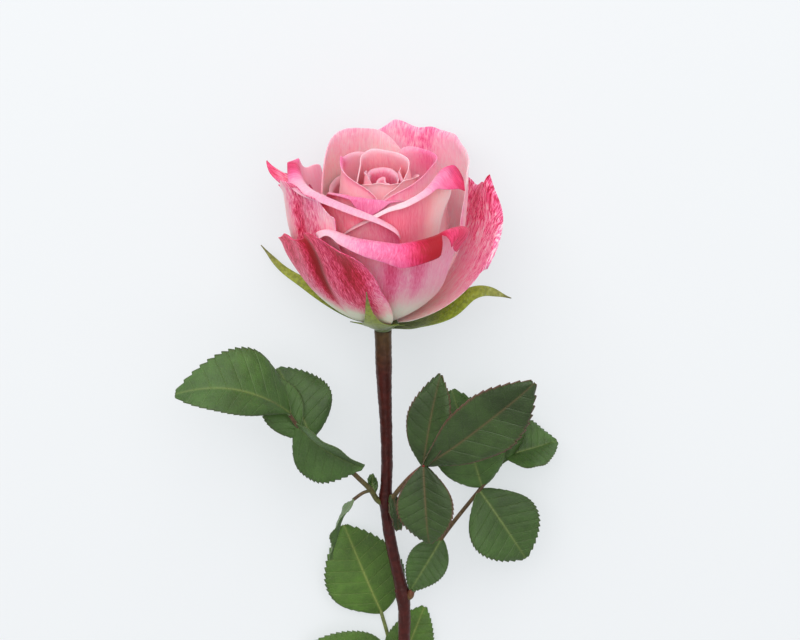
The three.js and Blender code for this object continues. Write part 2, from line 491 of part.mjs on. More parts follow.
// ---- leaves ----
// A leaflet runs from base to tip, its upper side facing `face`. `arch` lifts its middle, `fold`
// raises both halves from the midrib, and `twist` turns it about the midrib towards the tip. `full`
// is the power of the length's share that moves the widest place to the tip, and `tuck` the share by
// which one half is drawn in at the base.
// A leaf's stalk is a line of points, from inside the stem to the end leaflet's base.
const LEAFLET = { arch: 0, fold: 12, twist: 0, full: 0.86, tuck: 0, teeth: 7 };
const LEAVES = [
  { name: 'leaf_left', color: 0x3f6138, stalkRadii: [1.25, 0.65],
    stalk: [[0.9, -70, 0], [-2.2, -67.5, 1], [-4.6, -63, 2], [-9, -57.2, 4], [-19.3, -45.6, 6],
      [-30, -35.5, 8], [-34.4, -28.2, 9]],
    twigs: [[[-4.6, -63, 2], [-7.5, -63.6, 3], [-11.2, -66, 4]]],
    leaflets: [
      { base: [-33.6, -29, 9], tip: [-73.4, -16.5, 20], width: 33, face: [-0.1, 0.72, 0.7],
        arch: 11, fold: 8, twist: 12, tuck: 0.85 },
      { base: [-26, -39.6, 7], tip: [-38.5, -18.5, -8], width: 26, face: [0.2, 0.35, 0.9],
        arch: 3 },
      { base: [-31.6, -33.6, 8], tip: [-7.4, -47.5, 15], width: 29, face: [-0.38, -0.35, 0.85],
        arch: 2, fold: 34 },
      { base: [-10.6, -65.8, 4], tip: [-19.3, -89.5, 6], width: 10, face: [0.97, -0.2, 0.12],
        arch: -1.5, fold: -8, teeth: 6 },
      { base: [-30.5, -35, 8], tip: [-45, -20.5, -5], width: 15, face: [-0.2, 0.7, 0.6],
        arch: 2, teeth: 7 },
      { base: [-3.6, -65, 1.4], tip: [-4.2, -57.8, -0.2], width: 3, face: [0.5, 0.2, 0.9],
        teeth: 2 },
    ] },
  { name: 'leaf_right_front', color: 0x2f4630, stalkRadii: [1.2, 0.7],
    stalk: [[0.9, -70, 0], [3.1, -66.5, 2], [6.2, -60.1, 6], [10.2, -52.8, 11], [15, -46, 16]],
    twigs: [],
    leaflets: [
      { base: [14.2, -47, 15.6], tip: [53.2, -11.6, 22], width: 25, face: [0.15, -0.1, 1],
        arch: 3, fold: 10, full: 1.2 },
      { base: [14.6, -47, 15.8], tip: [20.6, -12.2, 13], width: 16, face: [-0.4, -0.25, 0.9],
        arch: 2.5, fold: 16, full: 1 },
      { base: [14.6, -46.4, 15.8], tip: [16.8, -76, 19], width: 20.5, face: [-0.1, -0.4, 0.9],
        arch: 2.5, fold: 14, full: 1 },
      { base: [3.4, -64.6, 2.6], tip: [5.6, -78, 4.5], width: 5, face: [0.5, 0, 0.9], teeth: 2 },
    ] },
  { name: 'leaf_right_back', color: 0x3b5c34, stalkRadii: [1.2, 0.65],
    stalk: [[7.4, -110, 0], [10.8, -106.5, -0.6], [15.5, -97, -2], [21.3, -85.9, -3],
      [36.1, -66.2, -6], [46, -53.4, -8.2]],
    twigs: [],
    leaflets: [
      { base: [45.3, -54.2, -8], tip: [64.5, -50.4, -13], width: 23, face: [-0.1, 0.8, 0.6],
        arch: 1, fold: 26 },
      { base: [36.6, -65.6, -6], tip: [25.2, -29, -12], width: 27, face: [0.1, 0.2, 1],
        arch: 3 },
      { base: [35.6, -66.8, -6], tip: [53, -92.5, -1], width: 27, face: [0.25, 0.1, 0.95],
        arch: 4, full: 0.95 },
      { base: [43.6, -56.6, -7.6], tip: [38.2, -31, -15], width: 22, face: [0.1, 0.25, 0.9],
        arch: 2 },
      { base: [21.6, -85.4, -3], tip: [10.2, -103.4, 3.5], width: 14.5, face: [-0.3, -0.2, 0.95],
        arch: 2, teeth: 6 },
    ] },
  { name: 'leaf_low_back', color: 0x4c7340, stalkRadii: [1.2, 0.7],
    stalk: [[6.2, -166, 0], [5.6, -161.5, -3.2], [4.8, -155, -6.6], [3.3, -145.5, -9.4],
      [1.9, -133.4, -11], [-1.3, -120.6, -12]],
    twigs: [],
    leaflets: [
      { base: [-0.9, -121.6, -12], tip: [-15, -86, -15], width: 30, face: [0.05, 0.1, 1],
        arch: 2 },
      { base: [3.4, -145, -9.6], tip: [-30, -134.5, -7.6], width: 27, face: [-0.1, 0.1, 1],
        arch: 2 },
      { base: [4, -147, -9.2], tip: [15.4, -120, -13.4], width: 18, face: [0, 0.1, 1],
        arch: 2 },
    ] },
];
const RIB_HALF_WIDTH = 0.45; // of the blade at its base and tip
const TOOTH_DEPTH = 0.075; // of the half width
const TOOTH_RISE = 0.72; // share of a tooth's pitch over which its margin runs outwards
const BARE_ENDS = 0.06; // share of the length without teeth at the base and the tip

// Shares of the length at which a leaflet's margin turns, each with its height as a tooth.
function marginStations(teeth) {
  const stations = [{ share: 0, tooth: 0 }];
  const pitchShare = (1 - 2 * BARE_ENDS) / teeth;
  for (let k = 0; k < teeth; k += 1) {
    const foot = BARE_ENDS + k * pitchShare;
    stations.push({ share: foot, tooth: 0 });
    stations.push({ share: foot + TOOTH_RISE * pitchShare, tooth: 1 });
  }
  stations.push({ share: 1 - BARE_ENDS, tooth: 0 });
  stations.push({ share: 1, tooth: 0 });
  return stations;
}

function leafletSolid(shape) {
  const { base, tip, face, width, arch, fold, twist, full, tuck, teeth } = { ...LEAFLET, ...shape };
  const start = vec(...base);
  const run = vec(...tip).sub(start);
  const along = run.clone().normalize();
  const flatFace = vec(...face).projectOnPlane(along).normalize();
  const rows = marginStations(teeth).map(({ share, tooth }) => {
    const up = flatFace.clone().applyAxisAngle(along, radians(twist) * share);
    const across = along.clone().cross(up);
    const round = Math.sin(Math.PI * share ** full) ** 0.8;
    const rib = start.clone().addScaledVector(run, share)
      .addScaledVector(up, 4 * arch * share * (1 - share));
    return [-1, 0, 1].map((side) => {
      const drawnIn = side < 0 ? 1 - tuck * (1 - share) : 1;
      const blade = (width / 2) * round * (1 + TOOTH_DEPTH * tooth) * drawnIn;
      const spread = RIB_HALF_WIDTH + Math.cos(radians(fold)) * blade;
      const point = rib.clone().addScaledVector(across, side * spread);
      if (side) point.addScaledVector(up, Math.sin(radians(fold)) * blade);
      return restOnSurface(point, LEAF_THICKNESS);
    });
  });
  return solidOf(bladeGeometry(rows, LEAF_THICKNESS));
}

function leafSolid({ stalk, stalkRadii: [thick, thin], twigs, leaflets }) {
  const stalkRadius = (share) => thick + (thin - thick) * Math.sqrt(share);
  const bars = [
    barGeometry(smoothCurve(stalk), 11, 6, stalkRadius),
    ...twigs.map((twig) => barGeometry(smoothCurve(twig), 3, 6, () => thin)),
  ];
  return fuse([...bars.map(solidOf), ...leaflets.map(leafletSolid)]);
}

// ---- the whole rose ----
const stemRoom = stemSolid(SEAT_GAP);
const rose = new THREE.Group();
rose.rotation.x = pitch;
rose.position.set(PLACE.x, PLACE.y, LIFT);
rose.add(meshOf('stem', stemSolid(), 0x3a1a14, 0.5));
rose.add(meshOf('calyx', calyxSolid(), 0x6c8a4e, 0.6));
rose.add(meshOf('bloom', bloomSolid().subtract(calyxSolid(1.5 * SEAT_GAP)), 0xe0708e, 0.65));
LEAVES.forEach((leaf) => {
  rose.add(meshOf(leaf.name, leafSolid(leaf).subtract(stemRoom), leaf.color, 0.5));
});

const root = new THREE.Group();
root.add(rose);
export default root;
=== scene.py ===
"""A cut garden rose, laid down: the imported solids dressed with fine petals, sepals, leaves and bark.

Shapes are worked out in millimetres in the rose's own frame: x to the right, y up the stem from the
foot of the calyx, and z to the side that faces up where the rose lies. RoseFrame carries them into
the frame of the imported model, in metres. An azimuth goes round the stem, from 0 on the upper side,
positive to the right. Tones run from 0, the palest petal, to 1, the deepest crimson.
"""

import logging
import math
from collections.abc import Iterable, Sequence
from dataclasses import dataclass, field
from enum import Enum

import bpy
import numpy as np
from mathutils import Matrix, Vector


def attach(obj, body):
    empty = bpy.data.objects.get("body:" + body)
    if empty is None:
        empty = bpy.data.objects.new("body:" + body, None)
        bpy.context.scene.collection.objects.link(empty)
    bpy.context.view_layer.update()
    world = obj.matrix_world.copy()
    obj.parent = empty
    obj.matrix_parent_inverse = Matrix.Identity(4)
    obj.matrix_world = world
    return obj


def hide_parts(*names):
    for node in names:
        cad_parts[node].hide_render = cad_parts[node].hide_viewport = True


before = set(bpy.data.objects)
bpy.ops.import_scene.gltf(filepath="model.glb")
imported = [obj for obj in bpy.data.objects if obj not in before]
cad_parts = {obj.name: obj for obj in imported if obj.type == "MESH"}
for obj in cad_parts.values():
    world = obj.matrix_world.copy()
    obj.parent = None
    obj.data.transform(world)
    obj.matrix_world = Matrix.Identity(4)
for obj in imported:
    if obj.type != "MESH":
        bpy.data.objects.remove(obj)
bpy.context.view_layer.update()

Array = np.ndarray
Triple = tuple[float, float, float]
Stops = tuple[tuple[float, Triple], ...]
Socket = bpy.types.NodeSocket

log = logging.getLogger("rose")

MM = 0.001
BLACK = (0.0, 0.0, 0.0)
CHART = "chart"


class Slot(Enum):
    """The record's material slots."""

    STEM = "stem"
    CALYX = "calyx"
    PETAL = "petal"
    LEAF = "leaf"
    LEAF_DARK = "leaf_dark"


# ---- small formulas ----


def ramp(x: Array | float, low: float, high: float) -> Array:
    """Rises smoothly from 0 at low to 1 at high: 3t^2 - 2t^3 of the clamped share t."""
    t = np.clip((np.asarray(x, float) - low) / (high - low), 0.0, 1.0)
    return t * t * (3.0 - 2.0 * t)


def unit(vectors: Array) -> Array:
    """The vectors of the last axis, each divided by its length."""
    return vectors / np.maximum(np.linalg.norm(vectors, axis=-1, keepdims=True), 1e-9)


def turned(vector: Array, axis: Array, angle: Array | float) -> Array:
    """The vector turned about a unit axis by Rodrigues' formula, angle in radians."""
    c, s = np.cos(angle)[..., None], np.sin(angle)[..., None]
    return vector * c + np.cross(axis, vector) * s + axis * (vector * axis).sum(-1, keepdims=True) * (1 - c)


def ripples(a: Array, b: Array, seed: int, waves: int = 7) -> Array:
    """Gentle unevenness: the sum of cosine waves over a and b, divided by the root of their number.

    Args:
        a: the first coordinate, in radians of a middling wave.
        b: the second one.
        seed: of the waves' directions, phases and paces.
        waves: how many there are.

    Returns:
        Values around 0, mostly between -1.5 and 1.5.
    """
    rng = np.random.default_rng(seed)
    turn = rng.uniform(0, 2 * math.pi, (waves, 2))
    pace = rng.uniform(0.5, 1.5, waves)
    crests = [math.cos(t) * a * p + math.sin(t) * b * p + phase for (t, phase), p in zip(turn, pace)]
    return np.cos(np.stack(crests)).sum(0) / math.sqrt(waves)


STEPS_PER_SPAN = 32


def smooth_path(points: Iterable[Triple], samples: int) -> Array:
    """Points at equal distances along a centripetal Catmull-Rom curve.

    Each span is a cubic whose end tangents weigh the neighbouring chords by the square roots of
    their lengths. The curve passes through every given point.

    Args:
        points: the points it passes through.
        samples: how many points come back.

    Returns:
        An array of samples x 3.
    """
    given = np.array(list(points), float)
    path = np.concatenate([[2 * given[0] - given[1]], given, [2 * given[-1] - given[-2]]])
    gap = np.sqrt(np.linalg.norm(np.diff(path, axis=0), axis=1))[:, None]
    chord = np.diff(path, axis=0) / gap
    bend = (path[2:] - path[:-2]) / (gap[1:] + gap[:-1])
    tangent = chord[:-1] - bend + chord[1:]
    t = np.linspace(0, 1, STEPS_PER_SPAN + 1)[:-1, None, None]
    start, end, span = path[1:-2], path[2:-1], gap[1:-1]
    m0, m1 = tangent[:-1] * span, tangent[1:] * span
    spans = ((2 * t**3 - 3 * t**2 + 1) * start + (t**3 - 2 * t**2 + t) * m0
             + (3 * t**2 - 2 * t**3) * end + (t**3 - t**2) * m1)
    dense = np.concatenate([spans.transpose(1, 0, 2).reshape(-1, 3), given[-1:]])
    run = np.concatenate([[0], np.cumsum(np.linalg.norm(np.diff(dense, axis=0), axis=1))])
    wanted = np.linspace(0, run[-1], samples)
    return np.stack([np.interp(wanted, run, dense[:, k]) for k in range(3)], -1)


# ---- how the rose lies ----


@dataclass(frozen=True)
class RoseFrame:
    """The rose's own frame, pitched so that the stem's end and the bloom's back rest on z = 0.

    `place` is where the foot of the calyx lies, and `soft_touch` the height in mm over which a sheet
    that comes down to the surface eases into lying on it.
    """

    pitch: float = math.radians(5.6)
    place: tuple[float, float] = (4.35, 79.18)
    stem_length: float = 230.0
    cut_slant: float = 4.0
    foot_radius: float = 2.9
    soft_touch: float = 0.5

    @property
    def lift(self) -> float:
        """Height of the calyx's foot above the surface, mm."""
        arm = self.stem_length + self.cut_slant / 2
        return arm * math.sin(self.pitch) + self.foot_radius * math.cos(self.pitch)

    @property
    def up(self) -> Array:
        """The surface's normal, in the rose's own frame."""
        return np.array([0.0, math.sin(self.pitch), math.cos(self.pitch)])

    @property
    def matrix(self) -> Matrix:
        """The rose's frame in metres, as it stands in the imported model's frame."""
        place = Vector((*self.place, self.lift)) * MM
        return Matrix.Translation(place) @ Matrix.Rotation(self.pitch, 4, "X")

    def carry(self, points: Array) -> Array:
        """Turns points by the pitch about x and moves them to their place.

        Args:
            points: in mm in the rose's frame.

        Returns:
            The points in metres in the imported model's frame.
        """
        x, y, z = points[..., 0], points[..., 1], points[..., 2]
        c, s = math.cos(self.pitch), math.sin(self.pitch)
        row = np.stack([x + self.place[0], y * c - z * s + self.place[1], y * s + z * c + self.lift], -1)
        return row * MM

    def rest(self, points: Array, thickness: Array | float) -> Array:
        """Raises points so that a sheet of this thickness lies flat where it would sink in.

        The height h above the surface becomes (h + s)^2 / 4s between -s and s, and 0 below.

        Args:
            points: the sheet's middle, in mm in the rose's frame.
            thickness: the sheet's, in mm.

        Returns:
            The points, raised.
        """
        height = points @ self.up + self.lift - np.asarray(thickness) / 2
        s = self.soft_touch
        wanted = np.where(height < -s, 0.0, np.where(height < s, (height + s) ** 2 / (4 * s), height))
        return points + (wanted - height)[..., None] * self.up


LIE = RoseFrame()


# ---- meshes ----


def in_scene(name: str, data: bpy.types.ID) -> bpy.types.Object:
    """Makes an object that shows a mesh, lamp or camera, and puts it in the scene.

    Args:
        name: the object's name.
        data: what it shows.

    Returns:
        The object.
    """
    made = bpy.data.objects.new(name, data)
    bpy.context.scene.collection.objects.link(made)
    return made


@dataclass
class Skin:
    """A closed mesh in the making, in mm in the rose's own frame.

    Each field keeps a value for each point, and the chart two texture coordinates.
    """

    points: Array
    quads: Array
    triangles: Array = field(default_factory=lambda: np.zeros((0, 3), int))
    fields: dict[str, Array] = field(default_factory=dict)
    chart: Array | None = None

    def piece(self, name: str, node: str, slot: Slot, material: bpy.types.Material) -> None:
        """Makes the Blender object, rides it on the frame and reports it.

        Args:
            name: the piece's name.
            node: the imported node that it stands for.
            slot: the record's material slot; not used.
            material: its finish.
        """
        corners = np.concatenate([self.quads.ravel(), self.triangles.ravel()]).astype(np.int32)
        sides = np.concatenate([np.full(len(self.quads), 4), np.full(len(self.triangles), 3)])
        starts = np.concatenate([[0], np.cumsum(sides)[:-1]]).astype(np.int32)
        mesh = bpy.data.meshes.new(name)
        mesh.vertices.add(len(self.points))
        mesh.vertices.foreach_set("co", LIE.carry(self.points).astype(np.float32).ravel())
        mesh.loops.add(len(corners))
        mesh.loops.foreach_set("vertex_index", corners)
        mesh.polygons.add(len(sides))
        mesh.polygons.foreach_set("loop_start", starts)
        mesh.update(calc_edges=True)
        mesh.shade_smooth()
        for label, values in self.fields.items():
            kept = mesh.attributes.new(label, "FLOAT", "POINT")
            kept.data.foreach_set("value", values.astype(np.float32).ravel())
        if self.chart is not None:
            layer = mesh.uv_layers.new(name=CHART)
            layer.data.foreach_set("uv", self.chart[corners].astype(np.float32).ravel())
        mesh.materials.append(material)
        made = in_scene(name, mesh)
        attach(made, "root")
        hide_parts(node)
        log.info("%s: %d faces for %s", name, len(sides), node)


def joined(skins: Sequence[Skin]) -> Skin:
    """Puts several skins into one mesh, which has no chart.

    Args:
        skins: with the same fields.

    Returns:
        The joined skin.
    """
    offsets = np.cumsum([0] + [len(skin.points) for skin in skins[:-1]])
    return Skin(
        np.concatenate([skin.points for skin in skins]),
        np.concatenate([skin.quads + k for skin, k in zip(skins, offsets)]),
        np.concatenate([skin.triangles + k for skin, k in zip(skins, offsets)]),
        {label: np.concatenate([skin.fields[label] for skin in skins]) for label in skins[0].fields},
    )


def sheet(grid: Array, thickness: Array, faces: dict[str, tuple[Array, Array]], chart: Array) -> Skin:
    """A thin closed sheet about a grid of midsurface points.

    Its two faces stand half the thickness off the grid along its normal, the cross product of the
    directions across and along the sheet. A strip of quads closes the margin.

    Args:
        grid: midsurface points, rows along the sheet x columns across it x 3.
        thickness: mm, for each grid point.
        faces: for each field, its values on the face that the normal points out of and on the other.
        chart: two texture coordinates for each grid point.

    Returns:
        The closed sheet.
    """
    rows, columns = grid.shape[:2]
    normal = unit(np.cross(np.gradient(grid, axis=1), np.gradient(grid, axis=0)))
    offset = normal * thickness[..., None] / 2
    points = np.concatenate([(grid + offset).reshape(-1, 3), (grid - offset).reshape(-1, 3)])
    index = np.arange(rows * columns).reshape(rows, columns)
    front = np.stack([index[:-1, :-1], index[:-1, 1:], index[1:, 1:], index[1:, :-1]], -1).reshape(-1, 4)
    rim = np.concatenate([index[0, :-1], index[:-1, -1], index[-1, :0:-1], index[:0:-1, 0]])
    following = np.roll(rim, -1)
    under = rows * columns
    edge = np.stack([following, rim, rim + under, following + under], -1)
    return Skin(
        points,
        np.concatenate([front, front[:, ::-1] + under, edge]),
        fields={label: np.concatenate([a.ravel(), b.ravel()]) for label, (a, b) in faces.items()},
        chart=np.concatenate([chart.reshape(-1, 2)] * 2),
    )


def bar(path: Array, radius: Array, sides: int, lean: Triple = (0, 0, 1), slant: float = 0.0,
        bumps: Array | None = None) -> Skin:
    """A closed round bar: a circle of the given radius carried along the path.

    Args:
        path: centres, rows x 3.
        radius: mm for each row.
        sides: points on each circle.
        lean: a direction that the path never runs along, from which each circle starts.
        slant: mm by which the first circle is sheared along the path, as by a sloping cut.
        bumps: mm added to the radius of each point, rows x sides.

    Returns:
        The bar, with a field "run" from 0 at its start to 1 at its end.
    """
    along = unit(np.gradient(path, axis=0))
    aside = unit(np.cross(along, np.array(lean, float)))
    over = np.cross(aside, along)
    turn = np.linspace(0, 2 * math.pi, sides, endpoint=False)
    spokes = np.cos(turn)[None, :, None] * over[:, None] + np.sin(turn)[None, :, None] * aside[:, None]
    reach = radius[:, None] + (0.0 if bumps is None else bumps)
    rings = path[:, None] + spokes * reach[..., None]
    rings[0] += along[0] * (np.cos(turn) * slant / 2)[:, None]
    rows = len(path)
    index = np.arange(rows * sides).reshape(rows, sides)
    nxt = np.roll(index, -1, axis=1)
    walls = np.stack([index[:-1], index[1:], nxt[1:], nxt[:-1]], -1).reshape(-1, 4)
    first, last = rows * sides, rows * sides + 1
    caps = np.concatenate([
        np.stack([np.full(sides, first), index[0], nxt[0]], -1),
        np.stack([np.full(sides, last), nxt[-1], index[-1]], -1),
    ])
    run = np.append(np.repeat(np.linspace(0, 1, rows), sides), [0, 1])
    return Skin(np.concatenate([rings.reshape(-1, 3), path[:1], path[-1:]]), walls, caps, {"run": run})


# ---- finishes ----


class Shader:
    """A material in the making, with a method for each kind of node that the finishes use.

    A colour is given as its shares of red, green and blue light.
    """

    def __init__(self, name: str) -> None:
        """Starts a material with its principled surface.

        Args:
            name: the material's name.
        """
        self.material = bpy.data.materials.new(name)
        self.material.use_nodes = True
        self.tree = self.material.node_tree
        self.surface = self.tree.nodes["Principled BSDF"]

    def feed(self, socket: Socket, value: object) -> None:
        """Links a socket to another one, or sets it to a plain value.

        Args:
            socket: the input that is fed.
            value: an output to link, a number, a vector or a colour.
        """
        if isinstance(value, bpy.types.NodeSocket):
            self.tree.links.new(value, socket)
        else:
            socket.default_value = (*value, 1.0) if socket.type == "RGBA" else value

    def add(self, kind: str, inputs: dict[str | int, object], **settings: object) -> bpy.types.Node:
        """Adds a node.

        Args:
            kind: the node's type.
            inputs: what to feed to its inputs, by name or place.
            **settings: its own settings.

        Returns:
            The node.
        """
        made = self.tree.nodes.new(kind)
        for key, value in settings.items():
            setattr(made, key, value)
        for key, value in inputs.items():
            self.feed(made.inputs[key], value)
        return made

    def set(self, **values: object) -> None:
        """Feeds sockets of the surface; an underscore in a name stands for a space."""
        for key, value in values.items():
            self.feed(self.surface.inputs[key.replace("_", " ")], value)

    def field(self, name: str) -> Socket:
        """A value kept on the mesh's points."""
        return self.add("ShaderNodeAttribute", {}, attribute_name=name).outputs["Fac"]

    def chart(self) -> Socket:
        """The piece's own chart."""
        return self.add("ShaderNodeUVMap", {}, uv_map=CHART).outputs["UV"]

    def place(self) -> Socket:
        """The place on the piece, in metres."""
        return self.add("ShaderNodeTexCoord", {}).outputs["Object"]

    def stretched(self, vector: Socket, scale: Triple) -> Socket:
        """The coordinates, each multiplied by its own scale."""
        return self.add("ShaderNodeMapping", {"Vector": vector, "Scale": scale}).outputs[0]

    def noise(self, vector: Socket, scale: float, detail: float, rough: float = 0.55) -> Socket:
        """Cloudy noise around 0.5."""
        inputs = {"Vector": vector, "Scale": scale, "Detail": detail, "Roughness": rough}
        return self.add("ShaderNodeTexNoise", inputs).outputs["Fac"]

    def math(self, operation: str, *values: object, clamp: bool = False) -> Socket:
        """One arithmetic step."""
        inputs = dict(enumerate(values))
        return self.add("ShaderNodeMath", inputs, operation=operation, use_clamp=clamp).outputs[0]

    def times(self, first: object, second: object) -> Socket:
        """The product of two values."""
        return self.math("MULTIPLY", first, second)

    def swing(self, noise: Socket, size: float) -> Socket:
        """Noise around 0 instead of 0.5, times its size."""
        return self.times(self.math("SUBTRACT", noise, 0.5), size)

    def grade(self, value: Socket, low: float, high: float, at_low: float = 0.0,
              at_high: float = 1.0) -> Socket:
        """Maps low..high to at_low..at_high smoothly, clamped."""
        inputs = {"Value": value, 1: low, 2: high, 3: at_low, 4: at_high}
        return self.add("ShaderNodeMapRange", inputs, interpolation_type="SMOOTHSTEP").outputs[0]

    def colours(self, value: Socket, stops: Stops) -> Socket:
        """A colour that changes with a value.

        Args:
            value: from 0 to 1.
            stops: the colour at some of its values.

        Returns:
            The colour in between them.
        """
        node = self.add("ShaderNodeValToRGB", {"Fac": value})
        elements = node.color_ramp.elements
        while len(elements) < len(stops):
            elements.new(0.5)
        for element, (position, colour) in zip(elements, stops):
            element.position = position
            element.color = (*colour, 1.0)
        return node.outputs["Color"]

    def mix(self, share: object, first: object, second: object) -> Socket:
        """Mixes two colours by the second one's share."""
        return self.add("ShaderNodeMix", {0: share, 6: first, 7: second}, data_type="RGBA").outputs[2]

    def bump(self, height: Socket, depth: float, strength: float) -> Socket:
        """A normal disturbed by a height field of this depth, in metres."""
        inputs = {"Height": height, "Distance": depth, "Strength": strength}
        return self.add("ShaderNodeBump", inputs).outputs[0]


@dataclass(frozen=True)
class PetalFinish:
    """Thin velvety petal, coloured by its tone and warmth, with fanning veins and mottling.

    cool and warm give the colour at each tone where the warmth is 0 and 1. streaks, mottling and
    veins are tones added by noises, whose grains say how fine they are across and along the petal.
    drift is how far the chart wanders, so that the veins aren't ruled.
    """

    cool: Stops = (
        (0.0, (0.92, 0.72, 0.73)), (0.2, (0.95, 0.45, 0.56)), (0.4, (0.92, 0.20, 0.38)),
        (0.6, (0.80, 0.07, 0.22)), (0.8, (0.52, 0.012, 0.07)), (1.0, (0.28, 0.002, 0.012)))
    warm: Stops = (
        (0.0, (0.86, 0.76, 0.58)), (0.2, (0.94, 0.48, 0.43)), (0.4, (0.90, 0.23, 0.29)),
        (0.6, (0.78, 0.07, 0.12)), (0.8, (0.52, 0.015, 0.03)), (1.0, (0.24, 0.005, 0.006)))
    streaks: float = 1.0
    streak_grain: Triple = (12.0, 4.0, 1.0)
    mottling: float = 1.25
    speckle_grain: Triple = (64.0, 24.0, 1.0)
    veins: float = 0.2
    vein_grain: Triple = (85.0, 6.0, 1.0)
    vein_depth: float = 0.00014
    drift: float = 0.12
    drift_scale: float = 90.0

    def material(self) -> bpy.types.Material:
        """Builds the material: the tone, made uneven where it is deep, picks the colour.

        Returns:
            The material.
        """
        s = Shader("petal")
        cloudy = {"Vector": s.place(), "Scale": self.drift_scale, "Detail": 2.0}
        clouds = s.add("ShaderNodeTexNoise", cloudy)
        moves = {0: clouds.outputs["Color"], 1: (self.drift, self.drift, 0.0), 2: s.chart()}
        chart = s.add("ShaderNodeVectorMath", moves, operation="MULTIPLY_ADD").outputs[0]
        streak = s.noise(s.stretched(chart, self.streak_grain), 1.0, 8.0, 0.8)
        vein = s.noise(s.stretched(chart, self.vein_grain), 1.0, 3.0, 0.6)
        speckle = s.noise(s.stretched(chart, self.speckle_grain), 1.0, 4.0, 0.66)
        tone = s.field("tone")
        spread = s.times(s.grade(tone, 0.16, 0.5, 0.25, 1.0), s.grade(tone, 0.7, 1.0, 1.0, 0.5))
        spread = s.times(spread, s.field("uneven"))
        mottled = s.math("ADD", s.swing(streak, self.streaks), s.swing(speckle, self.mottling))
        uneven = s.math("ADD", tone, s.times(mottled, spread))
        final = s.math("ADD", uneven, s.swing(vein, self.veins), clamp=True)
        s.set(Base_Color=s.mix(s.field("warmth"), s.colours(final, self.cool), s.colours(final, self.warm)),
              Roughness=0.55, Subsurface_Weight=0.5, Subsurface_Radius=(1.0, 0.36, 0.36),
              Subsurface_Scale=0.004, Specular_IOR_Level=0.3, Sheen_Weight=0.1, Sheen_Roughness=0.4,
              Normal=s.bump(s.math("ADD", vein, streak), self.vein_depth, 0.6))
        return s.material


@dataclass(frozen=True)
class LeafFinish:
    """Leathery leaf: upper face with a soft sheen and paler veins, matt pale underside.

    The colours are those of the upper and the lower face, the veins, the midrib and the margin.
    Clouds of `cloud_scale` brighten the upper face up to `brightest` times, and broader ones of
    `shade_scale` shade it by up to the share `shade`.
    """

    name: str
    upper: Triple
    lower: Triple
    vein: Triple
    rib: Triple
    margin: Triple
    roughness: float = 0.42
    cloud_scale: float = 160.0
    brightest: float = 1.5
    shade_scale: float = 40.0
    shade: float = 0.35
    net_scale: float = 900.0
    vein_depth: float = 0.00022

    def material(self) -> bpy.types.Material:
        """Builds the material: the green, then the net of small veins, the veins, margin and midrib.

        Returns:
            The material.
        """
        s = Shader(self.name)
        place = s.place()
        along_veins = s.add("ShaderNodeSeparateXYZ", {0: s.chart()}).outputs[0]
        vein = s.grade(s.math("PINGPONG", along_veins, 0.5), 0.0, 0.06, 1.0, 0.0)
        cells = s.add("ShaderNodeTexVoronoi", {"Vector": place, "Scale": self.net_scale},
                      feature="DISTANCE_TO_EDGE")
        net = s.grade(cells.outputs["Distance"], 0.0, 0.12, 1.0, 0.0)
        cloud = s.noise(place, self.cloud_scale, 4.0)
        bright = tuple(share * self.brightest for share in self.upper)
        green = s.mix(s.grade(cloud, 0.3, 0.7), self.upper, bright)
        shade = s.noise(place, self.shade_scale, 2.0)
        green = s.mix(s.grade(shade, 0.4, 0.62, 0.0, self.shade), green, BLACK)
        green = s.mix(s.times(net, 0.12), green, self.vein)
        green = s.mix(s.times(vein, 0.3), green, self.vein)
        green = s.mix(s.field("margin"), green, self.margin)
        green = s.mix(s.field("under"), green, s.mix(vein, self.lower, self.vein))
        grooves = s.math("ADD", s.times(net, 0.35), vein)
        relief = s.math("SUBTRACT", s.times(cloud, 0.25), grooves)
        s.set(Base_Color=s.mix(s.field("rib"), green, self.rib),
              Roughness=s.grade(cloud, 0.2, 0.8, self.roughness, self.roughness + 0.14),
              Specular_IOR_Level=0.36, Subsurface_Weight=0.08, Subsurface_Radius=(0.4, 1.0, 0.2),
              Subsurface_Scale=0.001, Normal=s.bump(relief, self.vein_depth, 0.7))
        return s.material


@dataclass(frozen=True)
class SkinFinish:
    """Plant skin whose colour runs along the piece, as on stalks, sepals and bark.

    stops gives the colour at each share of the field "run". Fibres of the pale colour cover it by
    up to pale_share, and dark spots are as fine as the grain says.
    """

    name: str
    stops: Stops
    pale: Triple = (0.45, 0.40, 0.36)
    pale_share: float = 0.12
    roughness: float = 0.45
    grain: float = 600.0
    sheen: float = 0.2
    fibre_stretch: Triple = (1.0, 0.12, 1.0)
    fibre_fineness: float = 2.5
    relief_depth: float = 0.00012

    def material(self) -> bpy.types.Material:
        """Builds the material.

        Returns:
            The material.
        """
        s = Shader(self.name)
        place = s.place()
        fibre_grain = self.grain * self.fibre_fineness
        fibres = s.noise(s.stretched(place, self.fibre_stretch), fibre_grain, 4.0, 0.6)
        spots = s.noise(place, self.grain, 3.0, 0.5)
        pale = s.times(s.grade(fibres, 0.52, 0.72), self.pale_share)
        colour = s.mix(pale, s.colours(s.field("run"), self.stops), self.pale)
        s.set(Base_Color=s.mix(s.grade(spots, 0.35, 0.65, 0.35, 0.0), colour, BLACK),
              Roughness=self.roughness, Specular_IOR_Level=0.3,
              Sheen_Weight=self.sheen, Sheen_Roughness=0.35,
              Normal=s.bump(s.math("ADD", fibres, spots), self.relief_depth, 0.7))
        return s.material


# ---- petals ----


